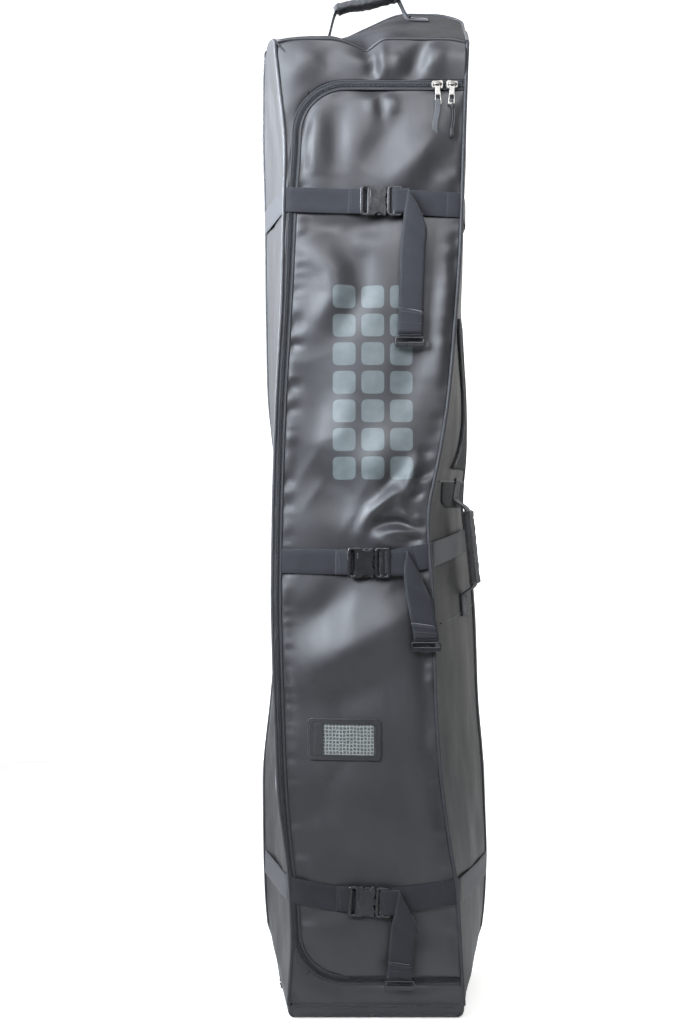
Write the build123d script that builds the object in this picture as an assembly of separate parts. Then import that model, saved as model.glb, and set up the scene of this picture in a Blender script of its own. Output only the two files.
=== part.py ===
"""Wheeled padded snowboard bag, standing on its base.

Millimetres, +Z up.  The origin is the centre of the footprint, on the ground.
-Y is the front, where the zipped lid is; +Y is the back, which rolls on the wheels.
"""
import os
from math import atan2, cos, degrees, radians, sin

from build123d import *

os.makedirs("parts", exist_ok=True)

# ---- bag body -----------------------------------------------------------------------
DEPTH = 230.0                  # front face to back face
FRONT_Y = -DEPTH / 2
BACK_Y = DEPTH / 2
FRONT_HALF = 138.0             # half width of the front face, constant over the height
BACK_HALF_BASE = 188.0         # half width of the back at the ground
BACK_HALF_TOP = 168.0          # half width of the back at the top
FRONT_HEIGHT = 1502.0          # top edge of the front face
BACK_HEIGHT = 1610.0           # top edge of the back face
WALL = 4.0                     # padded laminate, outer cover
FRONT_CORNER = 6.0             # radius of the piped front edges
BACK_CORNER = 45.0             # radius of the back edges
SIDE_SEAM_Y = 68.0             # seam between the side panels and the back panel
BOOT_FRONT = 22.0              # height of the base boot at the front
BOOT_BACK = 110.0              # height of the base boot at the back
BOOT_FLOOR = 5.0
BOOT_CHAMFER = 45.0            # cut-away at the back edge, so the bag tips onto its wheels
FIT = 0.3                      # clearance between pieces that only lie against each other

# ---- lid and zip --------------------------------------------------------------------
ZIP_LEFT = -119.0
ZIP_TOP = 1430.0
ZIP_BOTTOM = 61.0
ZIP_CORNER = 75.0
TAPE = 10.0                    # width of the zip tape that shows on each side of the teeth
HINGE_X = 137.0
LID_RIGHT = 134.0
LID_THICKNESS = 3.6
SLIDER_LEFT_X = 95.0
SLIDER_RIGHT_X = 118.0
PULL_AXIS_Y = FRONT_Y - 7.6
TAB_LENGTH = 34.0
CORD_LENGTH = 54.0

# ---- compression straps -------------------------------------------------------------
WEBBING = 38.0
WEB_THICKNESS = 1.6
STRAP_Y = FRONT_Y - 4.2        # middle of the webbing's thickness on the front runs
STRAP_START = 134.0            # front runs begin this far from the centre line
SEWN_STRAP_END_Y = 60.0        # side runs are sewn in just before the side seam
STRAPS = {                     # height, buckle centre, tail's left edge, tail length, tail slant
    "upper": (1250.0, 9.0, 40.0, 206.0, -6.0),
    "middle": (700.0, -10.0, 38.0, 118.0, 20.0),
    "lower": (184.0, -9.0, 26.0, 116.0, -8.0),
}

# ---- side-release buckle, sizes about its own centre ----------------------------------
BUCKLE_HALF_HEIGHT = 23.0
BUCKLE_BACK_Y = STRAP_Y - 1.6
BUCKLE_FRONT_Y = BUCKLE_BACK_Y - 9.4
FEMALE_BAR_X = -30.0
FEMALE_BODY_X = -20.0
FEMALE_MOUTH_X = 8.0
MALE_BASE_X = 9.0
MALE_END_X = 33.0
BAR_RADIUS = 2.2
TAIL_Y = BUCKLE_FRONT_Y - 1.6  # middle of the tail webbing's thickness

# ---- wheels -------------------------------------------------------------------------
WHEEL_X = 132.0
WHEEL_Y = 95.0
WHEEL_Z = 44.0
WHEEL_RADIUS = 38.0
WHEEL_WIDTH = 28.0
WELL_RADIUS = 42.0
WELL_WIDTH = 34.0
HOUSING_WALL = 4.0
HOUSING_TOP = 104.0
AXLE_RADIUS = 4.0

# ---- handles ------------------------------------------------------------------------
TOP_HANDLE_Y = 50.0
TOP_HANDLE_HALF = 72.0
TOP_HANDLE_LIFT = 14.0         # height of the swing axis above the top panel
TOP_HANDLE_RISE = 25.0
SIDE_HANDLE_Z = 711.0
SIDE_HANDLE_Y = 8.0
SIDE_HANDLE_HALF = 92.0
SIDE_HANDLE_LIFT = 6.0
HANDLE_WEB = 25.0

# ---- identity window on the lid -------------------------------------------------------
WINDOW_X = -47.0
WINDOW_Z = 431.0
WINDOW_WIDTH = 112.0
WINDOW_HEIGHT = 63.0


def save(name, *solids):
    """Write one node: a single solid, or a group of separate solids."""
    pieces = [s for shape in solids for s in shape.solids()]
    body = pieces[0] if len(pieces) == 1 else Compound(children=pieces)
    export_step(body, f"parts/{name}.step")


def block(x0, x1, y0, y1, z0, z1):
    """Axis-aligned box between two corners."""
    centre = Pos((x0 + x1) / 2, (y0 + y1) / 2, (z0 + z1) / 2)
    return centre * Box(x1 - x0, y1 - y0, z1 - z0)


def rod(axis, radius, start, end, a, b):
    """Cylinder along X, Y or Z from start to end; a and b are its other two coordinates."""
    length = end - start
    middle = (start + end) / 2
    if axis == "x":
        return Pos(middle, a, b) * Rot(0, 90, 0) * Cylinder(radius, length)
    if axis == "y":
        return Pos(a, middle, b) * Rot(90, 0, 0) * Cylinder(radius, length)
    return Pos(a, b, middle) * Cylinder(radius, length)


def back_half(z):
    """Half width of the back face at a height."""
    return BACK_HALF_BASE + (BACK_HALF_TOP - BACK_HALF_BASE) * z / BACK_HEIGHT


def section(z, inset=0.0):
    """Outline of the bag at a height, moved inwards by inset (outwards if negative)."""
    half = back_half(z)
    corners = [(-FRONT_HALF, FRONT_Y), (FRONT_HALF, FRONT_Y), (half, BACK_Y), (-half, BACK_Y)]
    face = make_face(Polyline(*corners, close=True))
    rows = face.vertices().group_by(Axis.Y)
    face = fillet(rows[0], FRONT_CORNER)
    face = fillet(face.vertices().group_by(Axis.Y)[-1], BACK_CORNER)
    if inset:
        face = offset(face, amount=-inset)
    return Pos(0, 0, z) * face


def bag_volume(inset=0.0):
    """The whole tapered tube of the bag, cut square at both ends."""
    return loft([section(0, inset), section(BACK_HEIGHT, inset)], ruled=True)


def side_prism(*points):
    """Prism across the whole width from an outline of (y, z) points."""
    face = Plane.YZ * make_face(Polyline(*points, close=True))
    return extrude(face, amount=400, both=True)


def slope_z(y):
    """Height of the sloping top at a depth."""
    return FRONT_HEIGHT + (y - FRONT_Y) / DEPTH * (BACK_HEIGHT - FRONT_HEIGHT)


def below_top(drop=0.0):
    """Everything under the sloping top, lowered by drop."""
    front, back = FRONT_Y - 40, BACK_Y + 40
    return side_prism((front, -40), (back, -40), (back, slope_z(back) - drop),
                      (front, slope_z(front) - drop))


def boot_z(y):
    """Height of the base boot's edge at a depth."""
    return BOOT_FRONT + (y - FRONT_Y) / DEPTH * (BOOT_BACK - BOOT_FRONT)


def below_boot_edge():
    front, back = FRONT_Y - 40, BACK_Y + 40
    return side_prism((front, -40), (back, -40), (back, boot_z(back)), (front, boot_z(front)))


def lid_plate(grow, front_y, thickness, right):
    """Plate in the front face: the zip line's outline grown by grow, cut off at right."""
    left = ZIP_LEFT - grow
    bottom = ZIP_BOTTOM - grow
    top = ZIP_TOP + grow
    face = make_face(Polyline((left, bottom), (right, bottom), (right, top), (left, top), close=True))
    face = fillet(face.vertices().group_by(Axis.X)[0], ZIP_CORNER + grow)
    return Pos(0, front_y + thickness, 0) * extrude(Plane.XZ * face, amount=thickness)


def ribbon(points, width, start, plane):
    """Webbing: a centre line of points drawn in plane, WEB_THICKNESS thick, width wide."""
    strip = trace(Polyline(*points), WEB_THICKNESS)
    return extrude(plane.offset(start) * strip, amount=width)


def wheel_wells():
    """The space that each wheel needs, open to the ground and to the back."""
    wells = []
    for x in (-WHEEL_X, WHEEL_X):
        left, right = x - WELL_WIDTH / 2, x + WELL_WIDTH / 2
        well = rod("x", WELL_RADIUS, left, right, WHEEL_Y, WHEEL_Z)
        well += block(left, right, WHEEL_Y, WHEEL_Y + 60, -20, WHEEL_Z + WELL_RADIUS)
        well += block(left, right, WHEEL_Y - WELL_RADIUS, WHEEL_Y + 60, -20, WHEEL_Z)
        wells.append(well)
    return wells


def screw_places():
    return [(side * WHEEL_X + step, 96.0) for side in (-1, 1) for step in (-12.0, 12.0)]


# ---- cover panels -------------------------------------------------------------------
def make_cover():
    outer = bag_volume()
    inner = bag_volume(WALL)
    wells = wheel_wells()
    walls = ((outer - inner) & below_top(WALL)) - below_boot_edge()
    rear_limit = SIDE_SEAM_Y
    front_wall = walls & block(-400, 400, FRONT_Y - 5, FRONT_Y + WALL, 0, 1700)
    save("front_border", front_wall - lid_plate(TAPE, FRONT_Y - 10, 40, 300))
    mid = walls & block(-400, 400, FRONT_Y + WALL, rear_limit, 0, 1700)
    save("side_panel_left", mid & block(-400, 0, -200, 200, 0, 1700))
    save("side_panel_right", mid & block(0, 400, -200, 200, 0, 1700))
    save("back_panel", walls & block(-400, 400, rear_limit, BACK_Y + 5, 0, 1700))
    save("top_end_panel", (outer & below_top()) - below_top(WALL))

    keep = side_prism((FRONT_Y - 1, 0), (BACK_Y - BOOT_CHAMFER, 0), (BACK_Y, BOOT_CHAMFER),
                      (BACK_Y + 1, 200), (FRONT_Y - 1, 200))
    hollow = side_prism((FRONT_Y - 1, BOOT_FLOOR), (BACK_Y - BOOT_CHAMFER - 1.7, BOOT_FLOOR),
                        (BACK_Y - WALL, BOOT_CHAMFER + 1.3), (BACK_Y, 200), (FRONT_Y - 1, 200))
    boot = (outer & below_boot_edge() & keep) - (inner & hollow)
    for well in wells:
        boot -= well
    for x, z in screw_places():
        boot -= rod("y", 2.1, BACK_Y - 20, BACK_Y + 5, x, z)
    save("base_boot", boot)


def make_piping():
    """Piped seams: both front edges and the front edge of the top."""
    bead = 1.6
    edge_x, edge_y = FRONT_HALF + 0.4, FRONT_Y - 0.4
    left = rod("z", bead, BOOT_FRONT + 4, FRONT_HEIGHT - 4, -edge_x, edge_y)
    right_low = rod("z", bead, BOOT_FRONT + 4, ZIP_BOTTOM - 12, edge_x, edge_y)
    right_high = rod("z", bead, ZIP_TOP + 12, FRONT_HEIGHT - 4, edge_x, edge_y)
    top = rod("x", bead, -FRONT_HALF + 4, FRONT_HALF - 4, FRONT_Y - 2, FRONT_HEIGHT + 1.5)
    save("edge_piping", left, right_low, right_high, top)


# ---- inside the bag -----------------------------------------------------------------
def make_inside():
    low, high = 118.0, 1478.0
    padding = bag_volume(9.0) - bag_volume(15.0)
    sides = padding & block(-400, 400, FRONT_Y + 16, SIDE_SEAM_Y, low, high)
    back = padding & block(-400, 400, SIDE_SEAM_Y + FIT, 200, low, high)
    save("foam_padding", sides, back)
    save("back_stiffener", block(-112, 112, BACK_Y - 8, BACK_Y - 5, low, high))
    save("board_divider", block(-116, 116, 20, 26, low, high))
    straps = []
    for z in (450.0, 1150.0):
        straps.append(block(-116, -16, 29, 30.6, z - 12.5, z + 12.5))
        straps.append(block(-15, 15, 28, 36, z - 16, z + 16))
        straps.append(block(16, 116, 29, 30.6, z - 12.5, z + 12.5))
    save("tie_down_straps", *straps)


# ---- zip ----------------------------------------------------------------------------
def make_zip():
    tape_y = FRONT_Y + 0.5
    tooth_y = FRONT_Y - 2.0
    far = 300.0
    tape_out = lid_plate(TAPE - 0.2, tape_y, 1.2, 136) - lid_plate(1, tape_y - 1, 4, far)
    teeth_out = lid_plate(2.8, tooth_y, 2.4, 136) - lid_plate(0.3, tooth_y - 1, 5, far)
    save("zip_half_outer", tape_out, teeth_out)
    tape_in = lid_plate(-1, tape_y, 1.2, LID_RIGHT) - lid_plate(-TAPE + 0.2, tape_y - 1, 4, far)
    teeth_in = lid_plate(-0.3, tooth_y, 2.4, LID_RIGHT) - lid_plate(-2.8, tooth_y - 1, 5, far)
    save("zip_half_lid", tape_in, teeth_in)
    for side, x in (("left", SLIDER_LEFT_X), ("right", SLIDER_RIGHT_X)):
        make_slider(side, x)


def make_slider(side, x):
    z = ZIP_TOP
    plate = block(x - 8, x + 8, FRONT_Y - 4.4, FRONT_Y - 2.6, z - 4.8, z + 4.8)
    for lip in (-4.1, 4.1):
        plate += block(x - 8, x + 8, FRONT_Y - 4.4, FRONT_Y - 0.2, z + lip - 0.7, z + lip + 0.7)
    for post in (-5.75, 5.75):
        plate += block(x + post - 0.75, x + post + 0.75, PULL_AXIS_Y - 1.2, FRONT_Y - 4.2,
                       z - 1.6, z + 1.6)
    plate += rod("x", 1.0, x - 6, x + 6, PULL_AXIS_Y, z)
    save(f"zip_slider_{side}", plate)

    tab = rod("x", 2.2, x - 4.5, x + 4.5, PULL_AXIS_Y, z)
    tab += block(x - 6, x + 6, PULL_AXIS_Y - 0.8, PULL_AXIS_Y + 0.8, z - TAB_LENGTH, z - 1.5)
    tab -= rod("x", 1.25, x - 10, x + 10, PULL_AXIS_Y, z)
    tab -= block(x - 6.5, x - 4.5, PULL_AXIS_Y - 2, PULL_AXIS_Y + 2, z - 3, z + 3)
    tab -= block(x + 4.5, x + 6.5, PULL_AXIS_Y - 2, PULL_AXIS_Y + 2, z - 3, z + 3)
    tab -= block(x - 3.4, x + 3.4, PULL_AXIS_Y - 2, PULL_AXIS_Y + 2, z - TAB_LENGTH + 2.5, z - 9)
    save(f"pull_tab_{side}", tab)

    top = z - TAB_LENGTH + 5
    cord = block(x - 3, x + 3, PULL_AXIS_Y - 2.6, PULL_AXIS_Y + 2.6, top - CORD_LENGTH, top)
    cord -= block(x - 4, x + 4, PULL_AXIS_Y - 1.3, PULL_AXIS_Y + 1.3,
                  top - CORD_LENGTH + 1.4, top - 1.3)
    save(f"pull_cord_{side}", cord)


# ---- lid ----------------------------------------------------------------------------
def make_lid():
    save("lid_panel", lid_plate(-TAPE, FRONT_Y, LID_THICKNESS, LID_RIGHT))
    save("lid_hinge_binding", block(LID_RIGHT - 6, HINGE_X, FRONT_Y - 1.5, FRONT_Y - 0.2,
                                    ZIP_BOTTOM + 12, ZIP_TOP - 12))
    left, right = WINDOW_X - WINDOW_WIDTH / 2, WINDOW_X + WINDOW_WIDTH / 2
    low, high = WINDOW_Z - WINDOW_HEIGHT / 2, WINDOW_Z + WINDOW_HEIGHT / 2
    front = FRONT_Y - 2.7
    frame = block(left, right, front, FRONT_Y - 0.2, low, high)
    frame -= block(left + 16, right - 4, front - 1, FRONT_Y + 1, low + 6, high - 6)
    save("id_window_frame", frame)
    save("id_window_lens", block(left + 16.3, right - 4.3, front + 0.5, front + 1.3,
                                 low + 6.3, high - 6.3))
    save("id_card", block(left + 18, right - 6, front + 1.6, front + 2.2, low + 8, high - 8))


# ---- straps and buckles ---------------------------------------------------------------
def make_side_runs():
    """The part of every strap that is sewn into the side seams and passes the sides."""
    runs = []
    for z, *_ in STRAPS.values():
        low = Pos(0, 0, -z) * section(z)
        ring = offset(low, amount=2.8) - offset(low, amount=1.2)
        loop = Pos(0, 0, z - WEBBING / 2) * extrude(ring, amount=WEBBING)
        runs.append(loop & block(-400, 0, FRONT_Y + 5, SEWN_STRAP_END_Y, 0, 1700))
        runs.append(loop & block(0, 400, FRONT_Y + 5, SEWN_STRAP_END_Y, 0, 1700))
    save("strap_side_runs", *runs)


def make_strap(name, z, buckle_x, tail_x, tail_length, slant):
    low, high = z - WEBBING / 2, z + WEBBING / 2
    lying = Plane.XY

    # left half: front run, folded round the female's bar and sewn back on itself
    bar_x = buckle_x + FEMALE_BAR_X
    bar_y = STRAP_Y - 3.4
    turn = 3.4
    arc = [(bar_x + turn * sin(radians(a)), bar_y + turn * cos(radians(a))) for a in range(0, 181, 20)]
    back_run = [(bar_x - 12, STRAP_Y - 2.4), (bar_x - 22, STRAP_Y - 1.9)]
    save(f"strap_left_{name}",
         ribbon([(-STRAP_START, STRAP_Y)] + arc + back_run, WEBBING, low, lying))

    # female half of the buckle
    tall = BUCKLE_HALF_HEIGHT
    body = block(buckle_x + FEMALE_BODY_X, buckle_x + FEMALE_MOUTH_X,
                 BUCKLE_FRONT_Y, BUCKLE_BACK_Y, z - tall, z + tall)
    body -= block(buckle_x + FEMALE_BODY_X + 3, buckle_x + 20,
                  BUCKLE_FRONT_Y + 2, BUCKLE_BACK_Y - 2, z - tall + 4, z + tall - 4)
    body -= block(buckle_x - 9, buckle_x + 20, BUCKLE_FRONT_Y + 2, BUCKLE_BACK_Y - 2,
                  z - tall - 1, z + tall + 1)
    for side in (-1, 1):
        body += block(bar_x - 2, buckle_x + FEMALE_BODY_X, BUCKLE_FRONT_Y + 1, BUCKLE_BACK_Y,
                      z + side * 21.2 - 1.8, z + side * 21.2 + 1.8)
    body += rod("z", BAR_RADIUS, z - 21, z + 21, bar_x, bar_y)
    save(f"buckle_female_{name}", body)

    # right half: plain front run that passes behind the male half
    start = buckle_x + MALE_BASE_X + 4
    save(f"strap_right_{name}", block(start, STRAP_START, STRAP_Y - WEB_THICKNESS / 2,
                                      STRAP_Y + WEB_THICKNESS / 2, low, high))

    # male half: cross bar, guide tongue and the two adjuster bars
    mid_front, mid_back = BUCKLE_FRONT_Y + 2.4, BUCKLE_BACK_Y - 2.4
    base = buckle_x + MALE_BASE_X
    end = buckle_x + MALE_END_X
    male = block(base, end, mid_front - 1.6, BUCKLE_BACK_Y, z - tall, z + tall)
    male -= block(base + 7, base + 12, mid_front - 3, BUCKLE_BACK_Y + 1, z - 19.6, z + 19.6)
    male -= block(base + 15, base + 20, mid_front - 3, BUCKLE_BACK_Y + 1, z - 19.6, z + 19.6)
    male += block(buckle_x - 12, base, mid_front, mid_back, z - 3, z + 3)
    save(f"buckle_male_{name}", male)

    # sprung prongs, each with the shoulder that is pressed to release it
    for letter, side in (("a", 1), ("b", -1)):
        arm = block(buckle_x - 12, base - 0.4, mid_front + 0.2, mid_back - 0.2,
                    z + side * 14 - 2, z + side * 14 + 2)
        arm += block(buckle_x - 7, buckle_x + 4, mid_front + 0.2, mid_back - 0.2,
                     z + side * 18.5 - 3, z + side * 18.5 + 3)
        save(f"buckle_prong_{letter}_{name}", arm)

    # loose tail: comes out of the adjuster, folds over and hangs down in front
    back, front = TAIL_Y + WEB_THICKNESS / 2, TAIL_Y - WEB_THICKNESS / 2
    fold_z = z + 8
    lead_in = [(base + 13, low + 4), (base + 13, high - 4), (tail_x + 30, high - 4),
               (tail_x + WEBBING, fold_z), (tail_x + WEBBING + slant, z - tail_length),
               (tail_x + slant, z - tail_length), (tail_x, low + 4)]
    plate = extrude(Plane.XZ * make_face(Polyline(*lead_in, close=True)), amount=back - front)
    plate = Pos(0, back, 0) * plate
    axis_z = z - tail_length - 3.2
    hook = [(TAIL_Y, z - tail_length + 0.5)]
    hook += [(TAIL_Y - 3.2 + 3.2 * cos(radians(a)), axis_z - 3.2 * sin(radians(a)))
             for a in range(0, 181, 20)]
    hook += [(TAIL_Y - 1.9, axis_z + 12), (TAIL_Y - 1.8, axis_z + 18)]
    fold = ribbon(hook, WEBBING, tail_x + slant, Plane.YZ)
    save(f"strap_tail_{name}", plate + fold)

    # loop on the end of the tail
    middle = tail_x + slant + WEBBING / 2
    axis_y = TAIL_Y - 3.2
    loop = rod("x", 2.0, middle - 22, middle + 22, axis_y, axis_z)
    loop += block(middle - 21, middle + 21, axis_y - 2, axis_y + 2, axis_z - 13, axis_z - 9.5)
    for side in (-1, 1):
        arm_x = middle + side * 21.2
        loop += block(arm_x - 1.8, arm_x + 1.8, axis_y - 2, axis_y + 2, axis_z - 13, axis_z + 2)
    save(f"tail_loop_{name}", loop)


# ---- wheels -------------------------------------------------------------------------
def make_wheels():
    housings = []
    axles = []
    inside = bag_volume(WALL + FIT)
    inside &= side_prism((0, BOOT_FLOOR + FIT), (BACK_Y - BOOT_CHAMFER - 2, BOOT_FLOOR + FIT),
                         (BACK_Y - WALL - FIT, BOOT_CHAMFER + 1.5),
                         (BACK_Y - WALL - FIT, 200), (0, 200))
    for side, well in zip((-1, 1), wheel_wells()):
        x = side * WHEEL_X
        reach = WELL_WIDTH / 2 + HOUSING_WALL
        box = block(x - reach, x + reach, WHEEL_Y - WELL_RADIUS - HOUSING_WALL, BACK_Y,
                    BOOT_FLOOR, HOUSING_TOP)
        box = (box & inside) - well
        box -= rod("x", AXLE_RADIUS + 0.05, x - 40, x + 40, WHEEL_Y, WHEEL_Z)
        for place_x, z in screw_places():
            box -= rod("y", 2.1, BACK_Y - 20, BACK_Y + 5, place_x, z)
        housings.append(box)
        axle = rod("x", AXLE_RADIUS, x - reach - 0.6, x + reach + 0.6, WHEEL_Y, WHEEL_Z)
        for cap in (-1, 1):
            face = x + cap * (reach + 0.6)
            axle += rod("x", 6.5, face - 0.5, face + 0.5, WHEEL_Y, WHEEL_Z)
        axles.append(axle)
        make_wheel("left" if side < 0 else "right", x)
    save("wheel_housings", *housings)
    save("wheel_axles", *axles)
    screws = []
    for x, z in screw_places():
        screws.append(rod("y", 4.5, BACK_Y + 0.1, BACK_Y + 2.1, x, z)
                      + rod("y", 2.0, BACK_Y - 16, BACK_Y + 1, x, z))
    save("housing_screws", *screws)
    rails = []
    for x in (-84.0, 84.0):
        rails.append(block(x - 9, x + 9, BACK_Y + 0.1, BACK_Y + 4.5, 122, 560))
    save("skid_rails", *rails)


def make_wheel(side, x):
    half = WHEEL_WIDTH / 2
    wheel = rod("x", WHEEL_RADIUS, x - half, x + half, WHEEL_Y, WHEEL_Z)
    wheel = fillet(wheel.edges().filter_by(GeomType.CIRCLE), 7)
    recess = 3.0
    for face in (-1, 1):
        edge = x + face * half
        dish = rod("x", 24, edge - recess, edge + recess, WHEEL_Y, WHEEL_Z)
        wheel -= dish - rod("x", 9, edge - 20, edge + 20, WHEEL_Y, WHEEL_Z)
    wheel -= rod("x", AXLE_RADIUS + 0.3, x - 40, x + 40, WHEEL_Y, WHEEL_Z)
    save(f"wheel_{side}", wheel)


# ---- handles ------------------------------------------------------------------------
def arch(half, rise):
    """Centre line of a handle's webbing, from anchor to anchor."""
    bend = 14.0
    return [(-half, 0), (-half, rise * 0.45), (-half + bend, rise), (half - bend, rise),
            (half, rise * 0.45), (half, 0)]


def make_top_handle():
    axis_z = slope_z(TOP_HANDLE_Y) + TOP_HANDLE_LIFT
    strip = trace(Polyline(*arch(TOP_HANDLE_HALF - 2, TOP_HANDLE_RISE)), 2.0)
    web = extrude(Plane.XZ * strip, amount=HANDLE_WEB)
    save("top_handle", Pos(0, TOP_HANDLE_Y + HANDLE_WEB / 2, axis_z) * web)
    grip = block(-50, 50, -15, 15, TOP_HANDLE_RISE - 7, TOP_HANDLE_RISE + 7)
    grip = fillet(grip.edges().filter_by(Axis.X), 6)
    grip -= block(-60, 60, -12.9, 12.9, TOP_HANDLE_RISE - 1.3, TOP_HANDLE_RISE + 1.3)
    save("top_grip", Pos(0, TOP_HANDLE_Y, axis_z) * grip)
    anchors = []
    for side in (-1, 1):
        x = side * (TOP_HANDLE_HALF + 1)
        y0, y1 = TOP_HANDLE_Y - HANDLE_WEB / 2, TOP_HANDLE_Y + HANDLE_WEB / 2
        tab = block(x - 1, x + 1, y0, y1, axis_z - 40, axis_z + 3)
        patch = block(min(x, x + side * 30), max(x, x + side * 30), y0, y1, axis_z - 40, axis_z + 3)
        patch &= below_top(-FIT - 2)
        anchors.append((tab + patch) - below_top(-FIT))
    return anchors


def side_handle_place():
    """Frame on the right side panel: x outwards, y towards the back, z up."""
    x = FRONT_HALF + (back_half(SIDE_HANDLE_Z) - FRONT_HALF) * (SIDE_HANDLE_Y - FRONT_Y) / DEPTH
    turn = -degrees(atan2(back_half(SIDE_HANDLE_Z) - FRONT_HALF, DEPTH))
    return Pos(x, SIDE_HANDLE_Y, SIDE_HANDLE_Z) * Rot(0, 0, turn)


def make_side_handle():
    place = side_handle_place()
    rise = 15.0
    line = [(SIDE_HANDLE_LIFT + out + 2, up) for up, out in arch(SIDE_HANDLE_HALF, rise)]
    strip = trace(Polyline(*line), 2.0)
    web = Pos(0, HANDLE_WEB / 2, 0) * extrude(Plane.XZ * strip, amount=HANDLE_WEB)
    save("side_handle", place * web)
    middle = SIDE_HANDLE_LIFT + rise + 2
    grip = block(middle - 7, middle + 7, -17, 17, -62, 62)
    grip = fillet(grip.edges().filter_by(Axis.Z), 6)
    grip -= block(middle - 1.3, middle + 1.3, -12.9, 12.9, -70, 70)
    save("side_grip", place * grip)
    anchors = []
    for side in (-1, 1):
        z = side * (SIDE_HANDLE_HALF + 3)
        tab = block(1.8, 9, -12.5, 12.5, z - 1, z + 1)
        tab += block(1.8, 3.8, -12.5, 12.5, min(z, z + side * 32), max(z, z + side * 32))
        anchors.append(place * tab)
    return anchors


make_cover()
make_piping()
make_inside()
make_zip()
make_lid()
make_side_runs()
for strap, sizes in STRAPS.items():
    make_strap(strap, *sizes)
make_wheels()
save("handle_anchors", *make_top_handle(), *make_side_handle())
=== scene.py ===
import math

import bmesh
import bpy
import numpy as np
from mathutils import Matrix, Vector
from mathutils.bvhtree import BVHTree


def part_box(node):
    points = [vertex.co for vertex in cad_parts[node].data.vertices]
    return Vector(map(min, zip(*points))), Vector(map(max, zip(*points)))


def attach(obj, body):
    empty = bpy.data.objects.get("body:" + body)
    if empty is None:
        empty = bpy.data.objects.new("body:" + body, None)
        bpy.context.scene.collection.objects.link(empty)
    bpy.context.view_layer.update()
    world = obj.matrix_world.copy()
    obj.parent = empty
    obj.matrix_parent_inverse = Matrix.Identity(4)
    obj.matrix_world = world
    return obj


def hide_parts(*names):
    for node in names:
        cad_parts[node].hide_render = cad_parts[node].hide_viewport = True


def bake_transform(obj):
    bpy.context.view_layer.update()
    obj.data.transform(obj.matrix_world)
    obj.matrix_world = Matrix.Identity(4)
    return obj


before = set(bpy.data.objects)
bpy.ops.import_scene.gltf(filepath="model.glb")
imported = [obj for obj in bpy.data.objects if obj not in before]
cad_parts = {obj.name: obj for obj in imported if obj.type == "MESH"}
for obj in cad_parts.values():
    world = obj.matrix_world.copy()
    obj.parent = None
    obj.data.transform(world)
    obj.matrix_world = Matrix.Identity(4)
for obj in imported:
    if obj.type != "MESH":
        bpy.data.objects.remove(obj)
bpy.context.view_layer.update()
scene = bpy.context.scene

# ======================================================================================
# Numbers shared with the frame, in metres
# ======================================================================================
MM = 0.001
lid_low, lid_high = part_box("lid_panel")
top_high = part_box("top_end_panel")[1]
boot_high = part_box("base_boot")[1]
FRONT_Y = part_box("front_border")[0].y
BACK_Y = boot_high.y
DEPTH = BACK_Y - FRONT_Y
FRONT_HALF = 0.138
BACK_HALF_BASE = 0.188
BACK_HALF_TOP = 0.168
FRONT_HEIGHT = top_high.z - 0.108
BACK_HEIGHT = top_high.z
BOOT_FRONT = 0.022
BOOT_BACK = boot_high.z
SIDE_SEAM_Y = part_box("side_panel_left")[1].y
ZIP_LEFT = lid_low.x - 0.010
ZIP_TOP = lid_high.z + 0.010
ZIP_BOTTOM = lid_low.z - 0.010
ZIP_CORNER = 0.075
HINGE_X = 0.137
TAPE = 0.0065
WEB = 0.038
WEB_THICK = 1.6 * MM
COVER = 2.2 * MM
LINING_DEPTH = 0.0150
HINGE_REACH = 0.030
FORWARD = (0, -1, 0)
STRAPS = ("upper", "middle", "lower")


def centre_of(node):
    return np.mean(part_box(node), axis=0)


def strap_z(name):
    return centre_of(f"strap_right_{name}")[2]


def buckle_x(name):
    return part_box(f"buckle_female_{name}")[0].x + 0.0322


# ======================================================================================
# The bag's slouch: straight CAD coordinates to the real, twisted stance
# ======================================================================================
def curve(*keys):
    """A smooth function of height through (height, value) keys, all in millimetres."""
    grid = np.arange(-60.0, 1720.0, 4.0)
    keys = sorted(keys)
    line = np.interp(grid, [k[0] for k in keys], [k[1] for k in keys])
    reach = np.arange(-15, 16)
    kernel = np.exp(-0.5 * (reach / 6.0) ** 2)
    kernel /= kernel.sum()
    line = np.convolve(np.pad(line, 15, mode="edge"), kernel, mode="valid")
    return lambda z: np.interp(np.asarray(z) * 1000, grid, line) * MM


seam_x = curve((0, -134), (20, -133), (118, -126), (230, -132), (338, -148), (490, -154),
               (643, -158), (795, -156), (948, -151), (1100, -142), (1253, -139),
               (1344, -136), (1430, -146), (1502, -154))
zip_x = curve((0, -119), (61, -119), (136, -121), (185, -123), (231, -131), (338, -141),
              (490, -147), (643, -151), (795, -148), (948, -143), (1100, -134),
              (1253, -127), (1344, -120), (1430, -119), (1502, -121))
hinge_x = curve((0, 136), (61, 133), (168, 127), (214, 124), (260, 115), (367, 100),
                (459, 93), (566, 89), (643, 88), (720, 81), (780, 78), (820, 88), (872, 99),
                (949, 111), (1025, 118), (1100, 124), (1178, 130), (1431, 138), (1502, 141))
seam_y = curve((0, -114), (61, -114), (260, -111), (490, -104), (720, -101), (796, -103),
               (949, -110), (1101, -117), (1300, -119), (1430, -116), (1502, -117))
hinge_y = curve((0, -114), (61, -115), (260, -122), (490, -129), (643, -133), (720, -134),
                (796, -133), (949, -124), (1101, -116), (1300, -111), (1430, -114), (1502, -114))
back_left = curve((0, -158), (20, -160), (60, -174), (110, -187), (216, -191), (366, -187),
                  (465, -171), (600, -157), (700, -150), (789, -152), (863, -163), (963, -178),
                  (1129, -184), (1245, -185), (1377, -190), (1527, -184), (1610, -174))
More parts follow.
